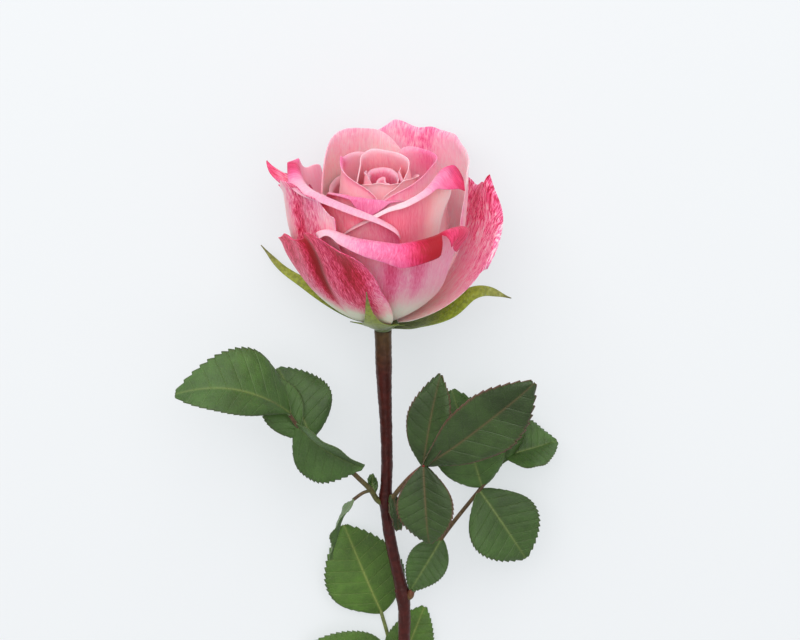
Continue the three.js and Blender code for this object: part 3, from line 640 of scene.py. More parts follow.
@dataclass(frozen=True)
class Patch:
    """A soft round patch on a petal: its middle at u across and v along it, and its half sizes."""

    u: float
    v: float
    wide: float
    long: float

    def strength(self, u: Array, v: Array) -> Array:
        """A Gaussian, 1 at the middle: e to the minus sum of the squared distances in half sizes."""
        return np.exp(-(((u - self.u) / self.wide) ** 2) - ((v - self.v) / self.long) ** 2)


@dataclass(frozen=True)
class Stain(Patch):
    """A patch of deeper or paler tone, by how much on the inner and on the outer face."""

    inside: float = 0.0
    outside: float = 0.0


@dataclass(frozen=True)
class Touch(Patch):
    """A patch bent by push mm across, along and outwards at its middle."""

    push: Triple

    def bend(self, u: Array, v: Array) -> Array:
        """The push at each point, in mm."""
        return self.strength(u, v)[..., None] * np.array(self.push)


@dataclass(frozen=True)
class Tone:
    """How a petal is coloured: the tones of its two faces and of its margins.

    rim holds the tone added at the left, top and right margin of the inner face, and uneven says
    how strongly streaks and specks break the tone up.
    """

    inside: float = 0.24
    outside: float = 0.14
    rim: Triple = (0.32, 0.36, 0.32)
    rim_width: float = 6.5
    outside_rim: float = 0.16
    warm_inside: float = 0.55
    warm_outside: float = 0.25
    uneven: float = 0.45
    stains: tuple[Stain, ...] = ()


@dataclass(frozen=True)
class Blade:
    """A petal laid out flat, with an array for each measure of its points.

    u runs from -1 to 1 across the petal and v from 0 to 1 along it, x and y are mm across and along,
    share is y's share of the length, half is half the width there, and to_top and to_side are mm to
    the margins.
    """

    u: Array
    v: Array
    x: Array
    y: Array
    share: Array
    half: Array
    to_top: Array
    to_side: Array

    def blend(self, margins: Triple) -> Array:
        """Blends values for the left, top and right margin by where each point is across."""
        left, right = np.clip(-self.u, 0, 1) ** 1.2, np.clip(self.u, 0, 1) ** 1.2
        return margins[0] * left + margins[1] * (1 - left - right) + margins[2] * right


@dataclass(frozen=True)
class Petal:
    """One petal, grown on a cup about the rose's axis.

    Its midline leaves the claw, `claw` mm from the axis and `foot` mm above the lowest claws, at
    lean[0] degrees from the axis. It has turned to lean[1] at the belly, `reach` mm from the axis,
    and to lean[2] at the top, `height` mm above the lowest claws. Across, the wall is round, its
    radius `wrap` times its distance from the axis. The top is rounded over a share `top` of the
    length, slants by `slant`, and has an optional peak of mm at peak_at. The margins roll outwards:
    curl gives how many mm of the left, top and right margin roll, and roll by how many degrees, the
    sides from the share roll_from of the length on, but not beyond flat_from half widths to the
    left. Each flap, (place across, half width, mm), is a triangle that hangs from the rolled top.
    wave gives the mm, number and phase of the waves across the top, crease the mm, place and width
    of a groove along the petal, and ruffle the mm of unevenness at the margin.
    """

    azimuth: float
    reach: float
    height: float
    width: float
    lean: Triple
    wrap: float = 1.0
    top: float = 0.34
    peak: float = 0.0
    peak_at: float = 0.0
    slant: float = 0.0
    curl: Triple = (5, 5, 5)
    roll: Triple = (60, 90, 60)
    roll_from: float = 0.6
    wave: Triple = (0.6, 2, 0)
    crease: Triple = (0, 0, 0.2)
    flaps: tuple[Triple, ...] = ()
    claw: float = 4.0
    foot: float = 0.0
    ruffle: float = 0.35
    flat_from: float = 1.2
    tone: Tone = Tone()
    touches: tuple[Touch, ...] = ()

    step = 0.25  # mm between the midline's points
    longest = 120.0  # mm of midline worked out, more than any petal's
    claw_height = 4.0  # mm from the foot of the calyx to the lowest claws
    claw_half = 4.5  # mm, half the broadest claw
    claw_share = 0.18  # of the width, half a narrow petal's claw
    widest_at = 0.62  # share of the length
    fullness = 0.85  # a lower power widens the blade sooner
    peak_width = 0.14  # of half the width
    peak_scale = 60.0  # mm, a middling length, of which a peak is a share
    tightest = 2.5  # mm, the smallest radius across
    crowding = 1.25  # the power that crowds the grid towards the margins
    least_curl = 0.2  # mm
    ruffle_reach = 3.5  # mm from the margin over which ruffles fade
    thickness = 0.5
    margin_thickness = 0.22
    margin_reach = 2.5  # mm over which the petal thins

    def midline(self) -> tuple[Array, Array, float]:
        """The midline in the plane of the petal's azimuth.

        Its angle turns evenly from lean[0] to lean[1] up to the belly and then smoothly to lean[2],
        and its points are the running sums of that direction. A few rounds find the length at which
        it reaches the petal's height.

        Returns:
            Distances from the axis, heights, and the petal's length along it, in mm.
        """
        start, belly, tip = np.radians(self.lean)
        belly_at = (self.reach - self.claw) * (start - belly) / (math.cos(belly) - math.cos(start))
        middle = np.arange(self.step / 2, self.longest, self.step)
        top_at = self.height
        for _ in range(6):
            upper = belly + (tip - belly) * ramp(middle, belly_at, max(top_at, belly_at + 5))
            angle = np.where(middle < belly_at, start + (belly - start) * middle / belly_at, upper)
            r = np.concatenate([[self.claw], self.claw + np.cumsum(np.sin(angle)) * self.step])
            h = np.concatenate([[0.0], np.cumsum(np.cos(angle)) * self.step])
            top_at = int(np.argmax(h >= self.height - self.foot)) * self.step
        turn = math.radians(self.roll[1])
        rolled = self.curl[1] / turn * math.sin(min(turn, math.pi / 2))
        return r, h, top_at + self.curl[1] - rolled

    def on_cup(self, x: Array, y: Array, line: Sequence[Array]) -> Array:
        """Carries the flat petal to its cup, whose wall is an arc at each height.

        Args:
            x: mm across the petal.
            y: mm along it.
            line: the midline's distances from the axis and heights.

        Returns:
            The points in the rose's frame.
        """
        places = np.arange(len(line[0])) * self.step
        r = np.interp(y, places, line[0])
        h = np.interp(y, places, line[1])
        wall = np.maximum(self.wrap * np.maximum(r, 1.0), self.tightest)
        out = r - wall + wall * np.cos(x / wall)
        aside = wall * np.sin(x / wall)
        turn = math.radians(self.azimuth)
        return np.stack([out * math.sin(turn) + aside * math.cos(turn),
                         h + self.foot + self.claw_height,
                         out * math.cos(turn) - aside * math.sin(turn)], -1)

    def half_width(self, share: Array) -> Array:
        """Half the width: a narrow claw, to which a power of the share's sine adds a rounded blade.

        Args:
            share: of the length, for each point.

        Returns:
            Half the width in mm.
        """
        claw = min(self.claw_half, self.claw_share * self.width)
        grown = np.sin(math.pi / 2 * np.clip(share / self.widest_at, 0, 1)) ** self.fullness
        return claw + (self.width / 2 - claw) * grown * (1 - 0.06 * ramp(share, 0.7, 1))

    def hanging(self, u: Array) -> Array:
        """Length in mm of the flaps that hang from the rolled top at u."""
        flaps = (size * np.clip(1 - np.abs(u - at) / wide, 0, 1) for at, wide, size in self.flaps)
        return sum(flaps, np.zeros_like(u))

    def outline(self, u: Array) -> Array:
        """How high the top reaches: an ellipse's arc, a peak and a slope.

        Args:
            u: places across.

        Returns:
            The share of the length at each.
        """
        arc = 1 - self.top + self.top * np.sqrt(np.maximum(1 - u * u, 0))
        point = self.peak / self.peak_scale * np.exp(-np.abs((u - self.peak_at) / self.peak_width) ** 1.3)
        return arc + point - self.slant * u

    def laid_out(self, length: float, fineness: int) -> Blade:
        """The petal laid out flat, its rows bent up to the outline of the top.

        Args:
            length: of the midline, mm.
            fineness: rows and columns of the grid.

        Returns:
            The flat petal.
        """
        even = np.linspace(-1, 1, fineness)[None, :]
        u = np.sign(even) * (1 - (1 - np.abs(even)) ** self.crowding) * np.ones((fineness, 1))
        v = (1 - (1 - np.linspace(0, 1, fineness)[:, None]) ** self.crowding) * np.ones((1, fineness))
        top = self.outline(u) + self.hanging(u) / length
        y = length * v * (1 - (1 - top) * v**1.5)
        share = y / length
        half = self.half_width(share)
        x = u * half
        to_top, to_side = np.maximum(top * length - y, 0), np.maximum(half - np.abs(x), 0)
        return Blade(u, v, x, y, share, half, to_top, to_side)

    def rolled(self, blade: Blade) -> tuple[Array, Array, Array]:
        """Rolls the margins.

        A point within `curl` of the margin is moved back and outwards as on a roll of radius curl /
        angle, and what a flap adds beyond that runs on straight.

        Args:
            blade: the flat petal.

        Returns:
            mm across, along and outwards for each point.
        """
        curl = blade.blend(self.curl) * (1 - ramp(-blade.u, self.flat_from - 0.2, self.flat_from))
        curl = curl + self.least_curl
        radius = curl / np.radians(blade.blend(self.roll))
        in_top = np.maximum(curl + self.hanging(blade.u) - blade.to_top, 0)
        in_side = np.maximum(curl - blade.to_side, 0)
        in_side = in_side * ramp(blade.share, self.roll_from, self.roll_from + 0.25)
        way = np.maximum(np.hypot(in_top, in_side), 1e-9)
        on_roll = np.minimum(way, curl)
        angle, straight = on_roll / radius, way - on_roll
        back = way - radius * np.sin(angle) - straight * np.cos(angle)
        return (blade.x - np.sign(blade.x) * in_side / way * back, blade.y - in_top / way * back,
                radius * (1 - np.cos(angle)) + straight * np.sin(angle))

    def bent(self, blade: Blade, place: Sequence[Array], seed: int) -> tuple[Array, Array, Array]:
        """Adds the waves across the top, the crease, the touches, the ruffled margin and ripples.

        Args:
            blade: the flat petal.
            place: mm across, along and outwards for each point of the rolled petal.
            seed: makes the petal's unevenness its own.

        Returns:
            The same three measures, bent.
        """
        (x, y, lift), u, v = place, blade.u, blade.v
        size, waves, phase = self.wave
        lift = lift + size * np.sin(math.pi * (waves * u + phase)) * ramp(v, 0.5, 1)
        depth, at, width = self.crease
        lift = lift - depth * np.exp(-(((u - at) / width) ** 2)) * ramp(v, 0.15, 0.6)
        push = sum((touch.bend(u, v) for touch in self.touches), np.zeros((*u.shape, 3)))
        x, y, lift = x + push[..., 0], y + push[..., 1], lift + push[..., 2]
        side = blade.to_side + 12 * (1 - ramp(blade.share, 0.45, 0.7))
        near = np.exp(-np.minimum(blade.to_top, side) / self.ruffle_reach)
        lift = lift + self.ruffle * near * ripples(9 * u, 4 * v, seed)
        lift = lift + 0.22 * ripples(3.2 * u, 3.2 * v, seed + 100) * ramp(v, 0.15, 0.5)
        y = y + self.ruffle * 0.8 * near * ripples(14 * u, v, seed + 200)
        x = x + self.ruffle * 0.7 * near * ripples(u, 14 * v, seed + 300)
        return x, y, lift

    def skin(self, seed: int, fineness: int) -> Skin:
        """The petal as a thin closed sheet: rolled, bent, carried to its cup and laid down.

        Args:
            seed: makes the petal's unevenness its own.
            fineness: rows and columns of the grid.

        Returns:
            The sheet, with the fields of its finish.
        """
        *line, length = self.midline()
        blade = self.laid_out(length, fineness)
        x, y, lift = self.bent(blade, self.rolled(blade), seed)
        small = 0.05
        across = self.on_cup(x + small, y, line) - self.on_cup(x - small, y, line)
        along = self.on_cup(x, y + small, line) - self.on_cup(x, np.maximum(y - small, 0), line)
        points = self.on_cup(x, y, line) + unit(np.cross(across, along)) * lift[..., None]
        margin = np.exp(-np.minimum(blade.to_top, blade.to_side) / self.margin_reach)
        thickness = self.thickness + (self.margin_thickness - self.thickness) * margin
        fan = blade.u * (0.5 + 0.5 * blade.half / blade.half.max())
        chart = np.stack([fan + 7.3 * seed, blade.v + 3.1 * seed], -1)
        return sheet(LIE.rest(points, thickness), thickness, self.colours(blade), chart)

    def colours(self, blade: Blade) -> dict[str, tuple[Array, Array]]:
        """Tone and warmth: the margins' tone fades inwards over rim_width, the claw is pale and warm.

        Args:
            blade: the flat petal.

        Returns:
            Each field's values on the outer and on the inner face.
        """
        tone = self.tone
        grown = ramp(blade.share, 0.12, 0.5)
        side = blade.to_side + 14 * (1 - ramp(blade.share, 0.35, 0.62))
        near = np.exp(-((np.minimum(blade.to_top, side) / tone.rim_width) ** 1.3))
        inside = tone.inside * (0.45 + 0.55 * grown) + blade.blend(tone.rim) * near
        outside = tone.outside * (0.4 + 0.6 * grown) + tone.outside_rim * near**1.6
        for stain in tone.stains:
            spot = stain.strength(blade.u, blade.v)
            inside, outside = inside + stain.inside * spot, outside + stain.outside * spot
        warm = 1 - ramp(blade.share, 0.15, 0.6)
        warm_in = np.clip(tone.warm_inside * (1 - 0.8 * near) + 0.5 * warm, 0, 1)
        warm_out = np.clip(tone.warm_outside * (1 - 0.6 * near) + 0.6 * warm, 0, 1)
        uneven = np.full_like(blade.u, tone.uneven)
        return {"tone": (outside, inside), "warmth": (warm_out, warm_in), "uneven": (uneven, uneven)}


OUTER_PETALS: dict[str, Petal] = {
    "front_left": Petal(
        -48.5, 33.7, 41, 53, (69, 19, 34), wrap=1.06, top=0.14, slant=-0.1, curl=(4, 3, 5),
        roll=(30, 25, 20), wave=(1.2, 2.5, 0.3), claw=5.6, ruffle=0.7,
        touches=(Touch(0.1, 0.9, 0.14, 0.5, (0, -2, -3)), Touch(0.32, 1, 0.16, 0.4, (0, 3, 0)),
                 Touch(-1, 1, 0.3, 0.5, (0, -2, 0))),
        tone=Tone(outside=0.62, outside_rim=0.06, inside=0.4, rim=(0.3, 0.3, 0.2), warm_outside=0.5,
                  uneven=1.2, stains=(
            Stain(0.1, 0.7, 0.12, 0.45, outside=0.55), Stain(0.7, 0.75, 0.25, 0.35, outside=0.3),
            Stain(-0.25, 0.35, 0.3, 0.16, outside=-0.3), Stain(0.45, 0.25, 0.3, 0.16, outside=-0.35),
            Stain(0.1, 0.1, 1.2, 0.36, outside=-0.6), Stain(-0.45, 0.8, 0.2, 0.3, outside=0.1),
            Stain(0.95, 0.45, 0.12, 0.5, outside=-0.3)))),
    "right": Petal(
        120, 34.3, 46, 56, (66, 20, 2), wrap=2.2, top=0.36, peak=9, peak_at=-0.45,
        curl=(4, 4, 6), roll=(40, 10, 30), wave=(1.2, 2.2, 0.1), claw=4.6, ruffle=1.6,
        touches=(Touch(-0.45, 1, 0.22, 0.2, (0, 1.5, -1)),),
        tone=Tone(inside=0.22, rim=(0.16, 0.3, 0.1), rim_width=8, warm_inside=0.0, uneven=2.2, stains=(
            # The second stain, a deeper tone in the fold of the left margin, is painted shade.
            Stain(-0.3, 0.85, 0.4, 0.2, inside=0.26), Stain(-0.75, 0.45, 0.2, 0.4, inside=0.06)))),
    "left_tip": Petal(
        -104, 24.6, 53.5, 22, (64, 6, 10), wrap=1.1, top=0.5, peak=8, curl=(4, 3, 4), roll=(40, 20, 40),
        claw=4.6, foot=0.9, touches=(Touch(0, 1, 0.6, 0.3, (0, 0, 4)), Touch(0, 1, 0.3, 0.1, (0, -2, 9))),
        tone=Tone(inside=0.3, outside=0.22, rim=(0.4, 0.4, 0.4), outside_rim=0.3, uneven=1.0)),
    "front": Petal(
        9, 31.6, 43, 59, (64, 13, 8), wrap=1.03, top=0.1, curl=(5, 16, 10), roll=(120, 180, 160),
        roll_from=0.7, wave=(0.6, 1.5, 0), flaps=((0.5, 0.1, -7),), claw=4.4, foot=1,
        touches=(Touch(1, 1, 0.4, 0.4, (0, 3, 0)), Touch(-0.5, 1, 0.3, 0.4, (0, -1.5, 0)),
                 Touch(1, 0.55, 0.5, 0.26, (-7, 0, 0))),
        # The outer face's tone is partly the petal's own colour and partly painted shade: it is set a
        # little deeper to darken the shadowed lower front.
        tone=Tone(inside=0.44, outside=0.29, rim=(-0.14, 0.06, 0.2), rim_width=12, outside_rim=0.02,
                  warm_outside=0.2, warm_inside=0.0, uneven=0.55, stains=(
            Stain(0.42, 0.93, 0.12, 0.4, inside=0.4), Stain(0.24, 0.95, 0.17, 0.4, inside=0.38),
            Stain(-0.05, 0.62, 0.1, 0.3, outside=0.3),
            Stain(0.3, 0.66, 0.13, 0.25, outside=0.2), Stain(0.05, 0.25, 0.6, 0.14, outside=-0.16),
            Stain(0.8, 0.9, 0.3, 0.3, inside=0.2), Stain(-0.8, 0.9, 0.4, 0.4, inside=-0.16)))),
    "under": Petal(
        176, 31.4, 50, 58, (66, 10, 4), wrap=1.1, top=0.3, peak=3, roll=(90, 90, 90), claw=4.4,
        foot=1.8, tone=Tone(uneven=0.8, inside=0.3, outside=0.34)),
    "left": Petal(
        -67, 34.3, 57, 54, (68, 6, 6), top=0.14, slant=-0.14, curl=(4, 4, 4), roll=(30, 30, 20),
        wave=(0.9, 2, 0.5), crease=(1.8, 0.25, 0.14), claw=4.2, foot=2.7, ruffle=1.0,
        touches=(Touch(-1, 1, 0.2, 0.3, (0, -3, 0)), Touch(0.8, 1, 0.35, 0.5, (0, -9, 0))),
        tone=Tone(inside=0.3, outside=0.22, outside_rim=0.03, rim=(0.3, 0.3, 0.3), warm_outside=0.45,
                  uneven=1.5, stains=(
            Stain(0.22, 0.75, 0.14, 0.4, outside=0.4), Stain(0.5, 0.85, 0.2, 0.4, outside=0.26),
            Stain(-0.6, 0.65, 0.42, 0.5, outside=-0.14)))),
    "left_lip": Petal(
        -62, 28.5, 57.8, 74, (68, 4, 2), top=0.16, peak=3, peak_at=-0.36, slant=0.085, curl=(2, 8, 5),
        roll=(20, 150, 140), roll_from=0.75, foot=3.8, flat_from=0.55,
        touches=(Touch(-0.75, 1, 0.4, 0.5, (0, -10, 0)), Touch(-0.6, 1, 0.12, 0.3, (0, 2.5, 0))),
        tone=Tone(inside=0.3, outside=0.36, rim=(0.05, 0.04, -0.08), rim_width=8, warm_inside=0.0,
                  warm_outside=0.75, uneven=0.4, stains=(
            Stain(-0.32, 0.98, 0.2, 0.14, inside=0.42), Stain(-0.8, 0.8, 0.3, 0.5, inside=-0.16),
            Stain(0.1, 0.95, 0.2, 0.2, inside=-0.1)))),
    "right_lip": Petal(
        12, 26.8, 54.5, 43, (68, 2, 4), top=0.12, slant=-0.17, curl=(3, 4.5, 6), roll=(140, 150, 140),
        roll_from=0.7, flaps=((0.84, 0.3, 10),), foot=5,
        touches=(Touch(1, 1, 0.35, 0.3, (6, 10.5, 1)), Touch(1, 0.6, 0.5, 0.32, (-7, 0, 0))),
        # The outer face's deep salmon-red at the left and bottom, paler towards the right, is partly the
        # petal's own colour and partly painted shade with a painted red glow of light bounced between
        # petals, where the lip and the front petal shadow it.
        tone=Tone(inside=0.13, outside=0.45, rim=(0.0, 0.0, 0.5), rim_width=7, outside_rim=-0.2,
                  warm_inside=0.15, warm_outside=0.75, uneven=0.3, stains=(
            Stain(0.8, 0.7, 0.4, 0.6, outside=-0.2), Stain(0.85, 1, 0.24, 0.3, inside=0.26)))),
    "back_right": Petal(
        140, 29, 64.5, 70, (68, 4, -4), top=0.14, peak=1.8, peak_at=0.5, curl=(3, 3, 3),
        roll=(30, 30, 20), foot=4, ruffle=0.6,
        touches=(Touch(-0.34, 1, 0.1, 0.3, (0, 1.6, 0)), Touch(0.22, 1, 0.12, 0.3, (0, -1, 0))),
        tone=Tone(inside=0.1, rim=(0.0, 0.24, 0.16), rim_width=8, warm_inside=0.0, uneven=1.3, stains=(
            Stain(0.2, 0.88, 0.2, 0.1, inside=0.2), Stain(-0.75, 0.8, 0.3, 0.4, inside=-0.08),
            Stain(-0.85, 0.55, 0.15, 0.16, inside=0.3)))),
    "back_left": Petal(
        -145, 21.6, 66.6, 54, (68, 2, -7), top=0.4, curl=(3, 3, 3), roll=(10, 20, 10), claw=3.5,
        foot=5.2, ruffle=0.5,
        tone=Tone(inside=0.06, rim=(0.04, 0.2, 0.1), rim_width=6, warm_inside=0.3, uneven=1.3, stains=(
            Stain(0.0, 0.88, 0.3, 0.08, inside=0.12),))),
}
HEART_TONE = Tone(inside=0.34, outside=0.26, rim=(-0.16, -0.16, -0.16), rim_width=3.5, outside_rim=-0.12,
                  warm_inside=0.6, warm_outside=0.6, uneven=0.4)
HOLLOW_TONE = Tone(inside=0.5, outside=0.32, rim=(-0.26, -0.28, -0.26), rim_width=3, outside_rim=-0.14,
                   warm_inside=0.5, warm_outside=0.6, uneven=0.6)
RIGHT_TONE = Tone(inside=0.16, outside=0.2, rim=(0.05, 0.2, 0.1), rim_width=8, warm_inside=0.05,
                  warm_outside=0.5, stains=(Stain(0.35, 0.9, 0.35, 0.16, inside=0.2),))
LEFT_TONE = Tone(inside=0.18, outside=0.2, rim=(0.05, 0.0, -0.04), rim_width=5, warm_inside=0.2,
                 warm_outside=0.5, stains=(Stain(0.0, 0.97, 0.3, 0.09, inside=0.3),))
LILAC_TONE = Tone(inside=0.42, outside=0.26, rim=(-0.2, 0.06, -0.2), rim_width=5, warm_inside=0.0,
                  warm_outside=0.6)


@dataclass(frozen=True)
class FoldedPetal(Petal):
    """A petal of the folded heart: it leans inwards at the top, and little of its margin rolls."""

    lean: Triple = (68, -2, -8)
    top: float = 0.3
    curl: Triple = (1.2, 1.4, 1.2)
    foot: float = 6.0
    tone: Tone = HOLLOW_TONE


@dataclass(frozen=True)
class PackedPetal(Petal):
    """A hidden petal between the open ones and the heart."""

    lean: Triple = (68, -2, -6)
    curl: Triple = (2, 2.4, 2)
    claw: float = 3.2
    foot: float = 5.8
    tone: Tone = HEART_TONE


EVEN_ROLL = (40, 40, 40)
INNER_PETALS: dict[str, Petal] = {
    "inner_right": FoldedPetal(82, 19.8, 60, 56, (68, -1, -6), top=0.12, slant=-0.05, curl=(1.4, 1.8, 2),
                               roll=(40, 50, 60), claw=3.2, foot=5.6, tone=RIGHT_TONE),
    "inner_back": FoldedPetal(168, 12.8, 61.5, 46, (68, -2, -12), top=0.2, roll=EVEN_ROLL, claw=2.4,
                              tone=HEART_TONE),
    "inner_left": FoldedPetal(-88, 16.2, 59, 46, (68, -1, -6), top=0.14, peak=3, slant=0.04,
                              curl=(1.4, 2, 2), roll=(50, 70, 60), claw=2.8, tone=LEFT_TONE),
    "inner_front": FoldedPetal(-15, 18, 52, 46, (68, 0, -4), top=0.12, flaps=((0.02, 0.3, 5.5),),
                               curl=(3, 3.5, 2.5), roll=(110, 165, 90), claw=3, tone=LILAC_TONE),
    "inner_fold": FoldedPetal(62, 13.6, 55.5, 30, (68, -2, -6), top=0.2, curl=(1.4, 1.6, 1.4),
                              roll=(60, 70, 60), claw=2.6, tone=HEART_TONE),
    "heart_front": FoldedPetal(12, 10, 53.8, 31, top=0.2, curl=(1.4, 1.6, 1.4), roll=(60, 80, 60), claw=2,
                               tone=HEART_TONE),
    "heart_back": FoldedPetal(172, 8.2, 55.2, 26, top=0.16, curl=(1.5, 2, 1.5), roll=(60, 100, 60),
                              claw=1.6),
    "heart_left": FoldedPetal(-80, 9, 56.5, 15, roll=EVEN_ROLL, claw=1.8),
    "heart_right": FoldedPetal(100, 9.4, 56.5, 12, curl=(1, 1.2, 1), roll=EVEN_ROLL, claw=1.8),
    "core_back": FoldedPetal(140, 4.4, 53, 12, claw=1.4),
    "core_front": FoldedPetal(20, 4, 51.5, 11, claw=1.3),
    "core_left": FoldedPetal(-110, 3.4, 51.5, 9, curl=(1, 1.2, 1), claw=1.2),
    "packed_back": PackedPetal(172, 22.3, 52, 46, claw=3.3),
    "packed_left": PackedPetal(-60, 22, 50, 40),
    "packed_right": PackedPetal(48, 23, 49, 40),
    "packed_left_back": PackedPetal(-138, 19.5, 50, 40, claw=3, foot=5.9),
    "packed_front": PackedPetal(-2, 14, 49, 30, claw=2.6, foot=6),
}


@dataclass(frozen=True)
class Bloom:
    """The open flower: outer petals about the folded inner ones.

    Each group's fineness is the rows and columns of its petals' grids, and its seed the first one's.
    """

    outer_fineness: int = 92
    inner_fineness: int = 60
    outer_seed: int = 0
    inner_seed: int = 40
    finish: PetalFinish = PetalFinish()

    def build(self) -> None:
        """Makes every petal."""
        material = self.finish.material()
        for petals, seed, fineness in ((OUTER_PETALS, self.outer_seed, self.outer_fineness),
                                       (INNER_PETALS, self.inner_seed, self.inner_fineness)):
            for k, (name, petal) in enumerate(petals.items()):
                petal.skin(seed + k, fineness).piece(f"petal_{name}", "bloom", Slot.PETAL, material)


# ---- calyx ----


@dataclass(frozen=True)
class Sepal:
    """A sepal whose centre line runs in the plane of its azimuth, as (distance from axis, height).

    It twists by `twist` degrees in its middle, its width falls with the power `taper`, and two narrow
    teeth of up to `lobe` mm stand out of each margin near its foot.
    """

    azimuth: float
    width: float
    twist: float
    line: tuple[tuple[float, float], ...]
    lobe: float = 0.0
    taper: float = 0.8
    thickness = 0.8
    tip_half = 0.4  # mm, half the width that the taper ends in
    ribs = 7  # half waves from the middle to a margin
    rib_height = 0.12
    rows = 120
    columns = 25

    def skin(self) -> Skin:
        """The sepal as a thin sheet, broad near its foot and drawn out to a fine tip.

        Its half width is a power of the share that is left to the tip. It bends across like the
        cup of petals that it lies on, by the square of the half width over twice the distance from
        the axis.

        Returns:
            The sheet, with the field "run" along it.
        """
        turn = math.radians(self.azimuth)
        out = np.array([math.sin(turn), 0.0, math.cos(turn)])
        path = smooth_path([tuple(out * r + np.array([0, h, 0])) for r, h in self.line], self.rows)
        share = np.linspace(0, 1, self.rows)
        along = unit(np.gradient(path, axis=0))
        tapered = self.width / 2 * (1 - share) ** self.taper
        half = self.tip_half + tapered * (0.4 + 0.6 * ramp(share, 0, 0.3))
        half = half * (1 - 0.6 * ramp(share, 0.85, 1))
        teeth = np.exp(-(((share - 0.17) / 0.03) ** 2)) + 0.7 * np.exp(-(((share - 0.3) / 0.025) ** 2))
        flat = np.array([math.cos(turn), 0.0, -math.sin(turn)])
        across = turned(np.broadcast_to(flat, along.shape), along,
                        np.radians(self.twist) * ramp(share, 0.2, 0.65))
        face = np.cross(along, across)
        distance = np.maximum(np.hypot(path[:, 0], path[:, 2]), 6)
        hug = face * (half**2 / (2 * distance))[:, None]
        u = np.linspace(-1, 1, self.columns)[None, :] * np.ones((self.rows, 1))
        edge = np.abs(u) ** 6
        reach = half[:, None] + self.lobe * teeth[:, None] * edge
        forward = 0.9 * self.lobe * teeth[:, None] * edge
        grid = (path[:, None] + across[:, None] * (u * reach)[..., None]
                + hug[:, None] * (u**2)[..., None] + along[:, None] * forward[..., None])
        ribs = self.rib_height * np.cos(self.ribs * math.pi * u) * (1 - u**2) * (1 - share[:, None])
        grid = grid + face[:, None] * ribs[..., None]
        thickness = self.thickness * (1 - 0.6 * u**2) * (1 - 0.4 * share[:, None])
        run = share[:, None] * np.ones_like(u)
        chart = np.stack([u * 0.5, run], -1)
        return sheet(LIE.rest(grid, thickness), thickness, {"run": (run, run)}, chart)


BACK_SEPAL_LINE = ((3, 1.5), (8, 3.4), (15, 6.6), (21, 10.5), (25, 15))
SEPALS: dict[str, Sepal] = {
    "front": Sepal(-9, 19, 0, ((3, 1.5), (8, 3.6), (16, 7.8), (24, 13), (31, 20.5), (34.6, 28)),
                   lobe=4.2, taper=1.7),
    "right": Sepal(84, 10.5, 62, ((3, 1.3), (12, 2.2), (24, 8.6), (32, 15.4), (37, 16.6), (46, 14.2))),
    "back_right": Sepal(150, 11, 0, BACK_SEPAL_LINE),
    "back_left": Sepal(-150, 11, 0, BACK_SEPAL_LINE),
    "left": Sepal(-118, 6.5, -40, ((3, 1.5), (14, 3.5), (32.6, 12.1), (42, 16.5), (50.6, 23.8))),
}


@dataclass(frozen=True)
class Calyx:
    """The green receptacle with its five sepals.

    profile gives the receptacle's radius at each height, and cup_run the share of the finish's run
    of colours that it takes.
    """

    profile: tuple[tuple[float, float], ...] = (
        (3.05, 0.3), (3.9, 1.3), (5.0, 2.2), (5.6, 2.7), (5.2, 3.1), (4.4, 3.3), (2.0, 3.4))
    rows: int = 30
    sides: int = 48
    cup_run: float = 0.3
    finish: SkinFinish = SkinFinish(
        "sepal", ((0.0, (0.12, 0.17, 0.06)), (0.22, (0.15, 0.22, 0.04)), (0.5, (0.27, 0.35, 0.03)),
                  (0.75, (0.30, 0.36, 0.035)), (1.0, (0.20, 0.19, 0.06))),
        pale=(0.46, 0.54, 0.36), pale_share=0.3, roughness=0.5, grain=700.0)

    def build(self) -> None:
        """Makes the receptacle, a profile turned about the axis, and the sepals."""
        material = self.finish.material()
        path = smooth_path([(r, h, 0.0) for r, h in self.profile], self.rows)
        cup = bar(path * (0, 1, 0), path[:, 0], self.sides)
        cup.fields["run"] = cup.fields["run"] * self.cup_run
        cup.piece("receptacle", "calyx", Slot.CALYX, material)
        for name, sepal in SEPALS.items():
            sepal.skin().piece(f"sepal_{name}", "calyx", Slot.CALYX, material)


# ---- stem ----


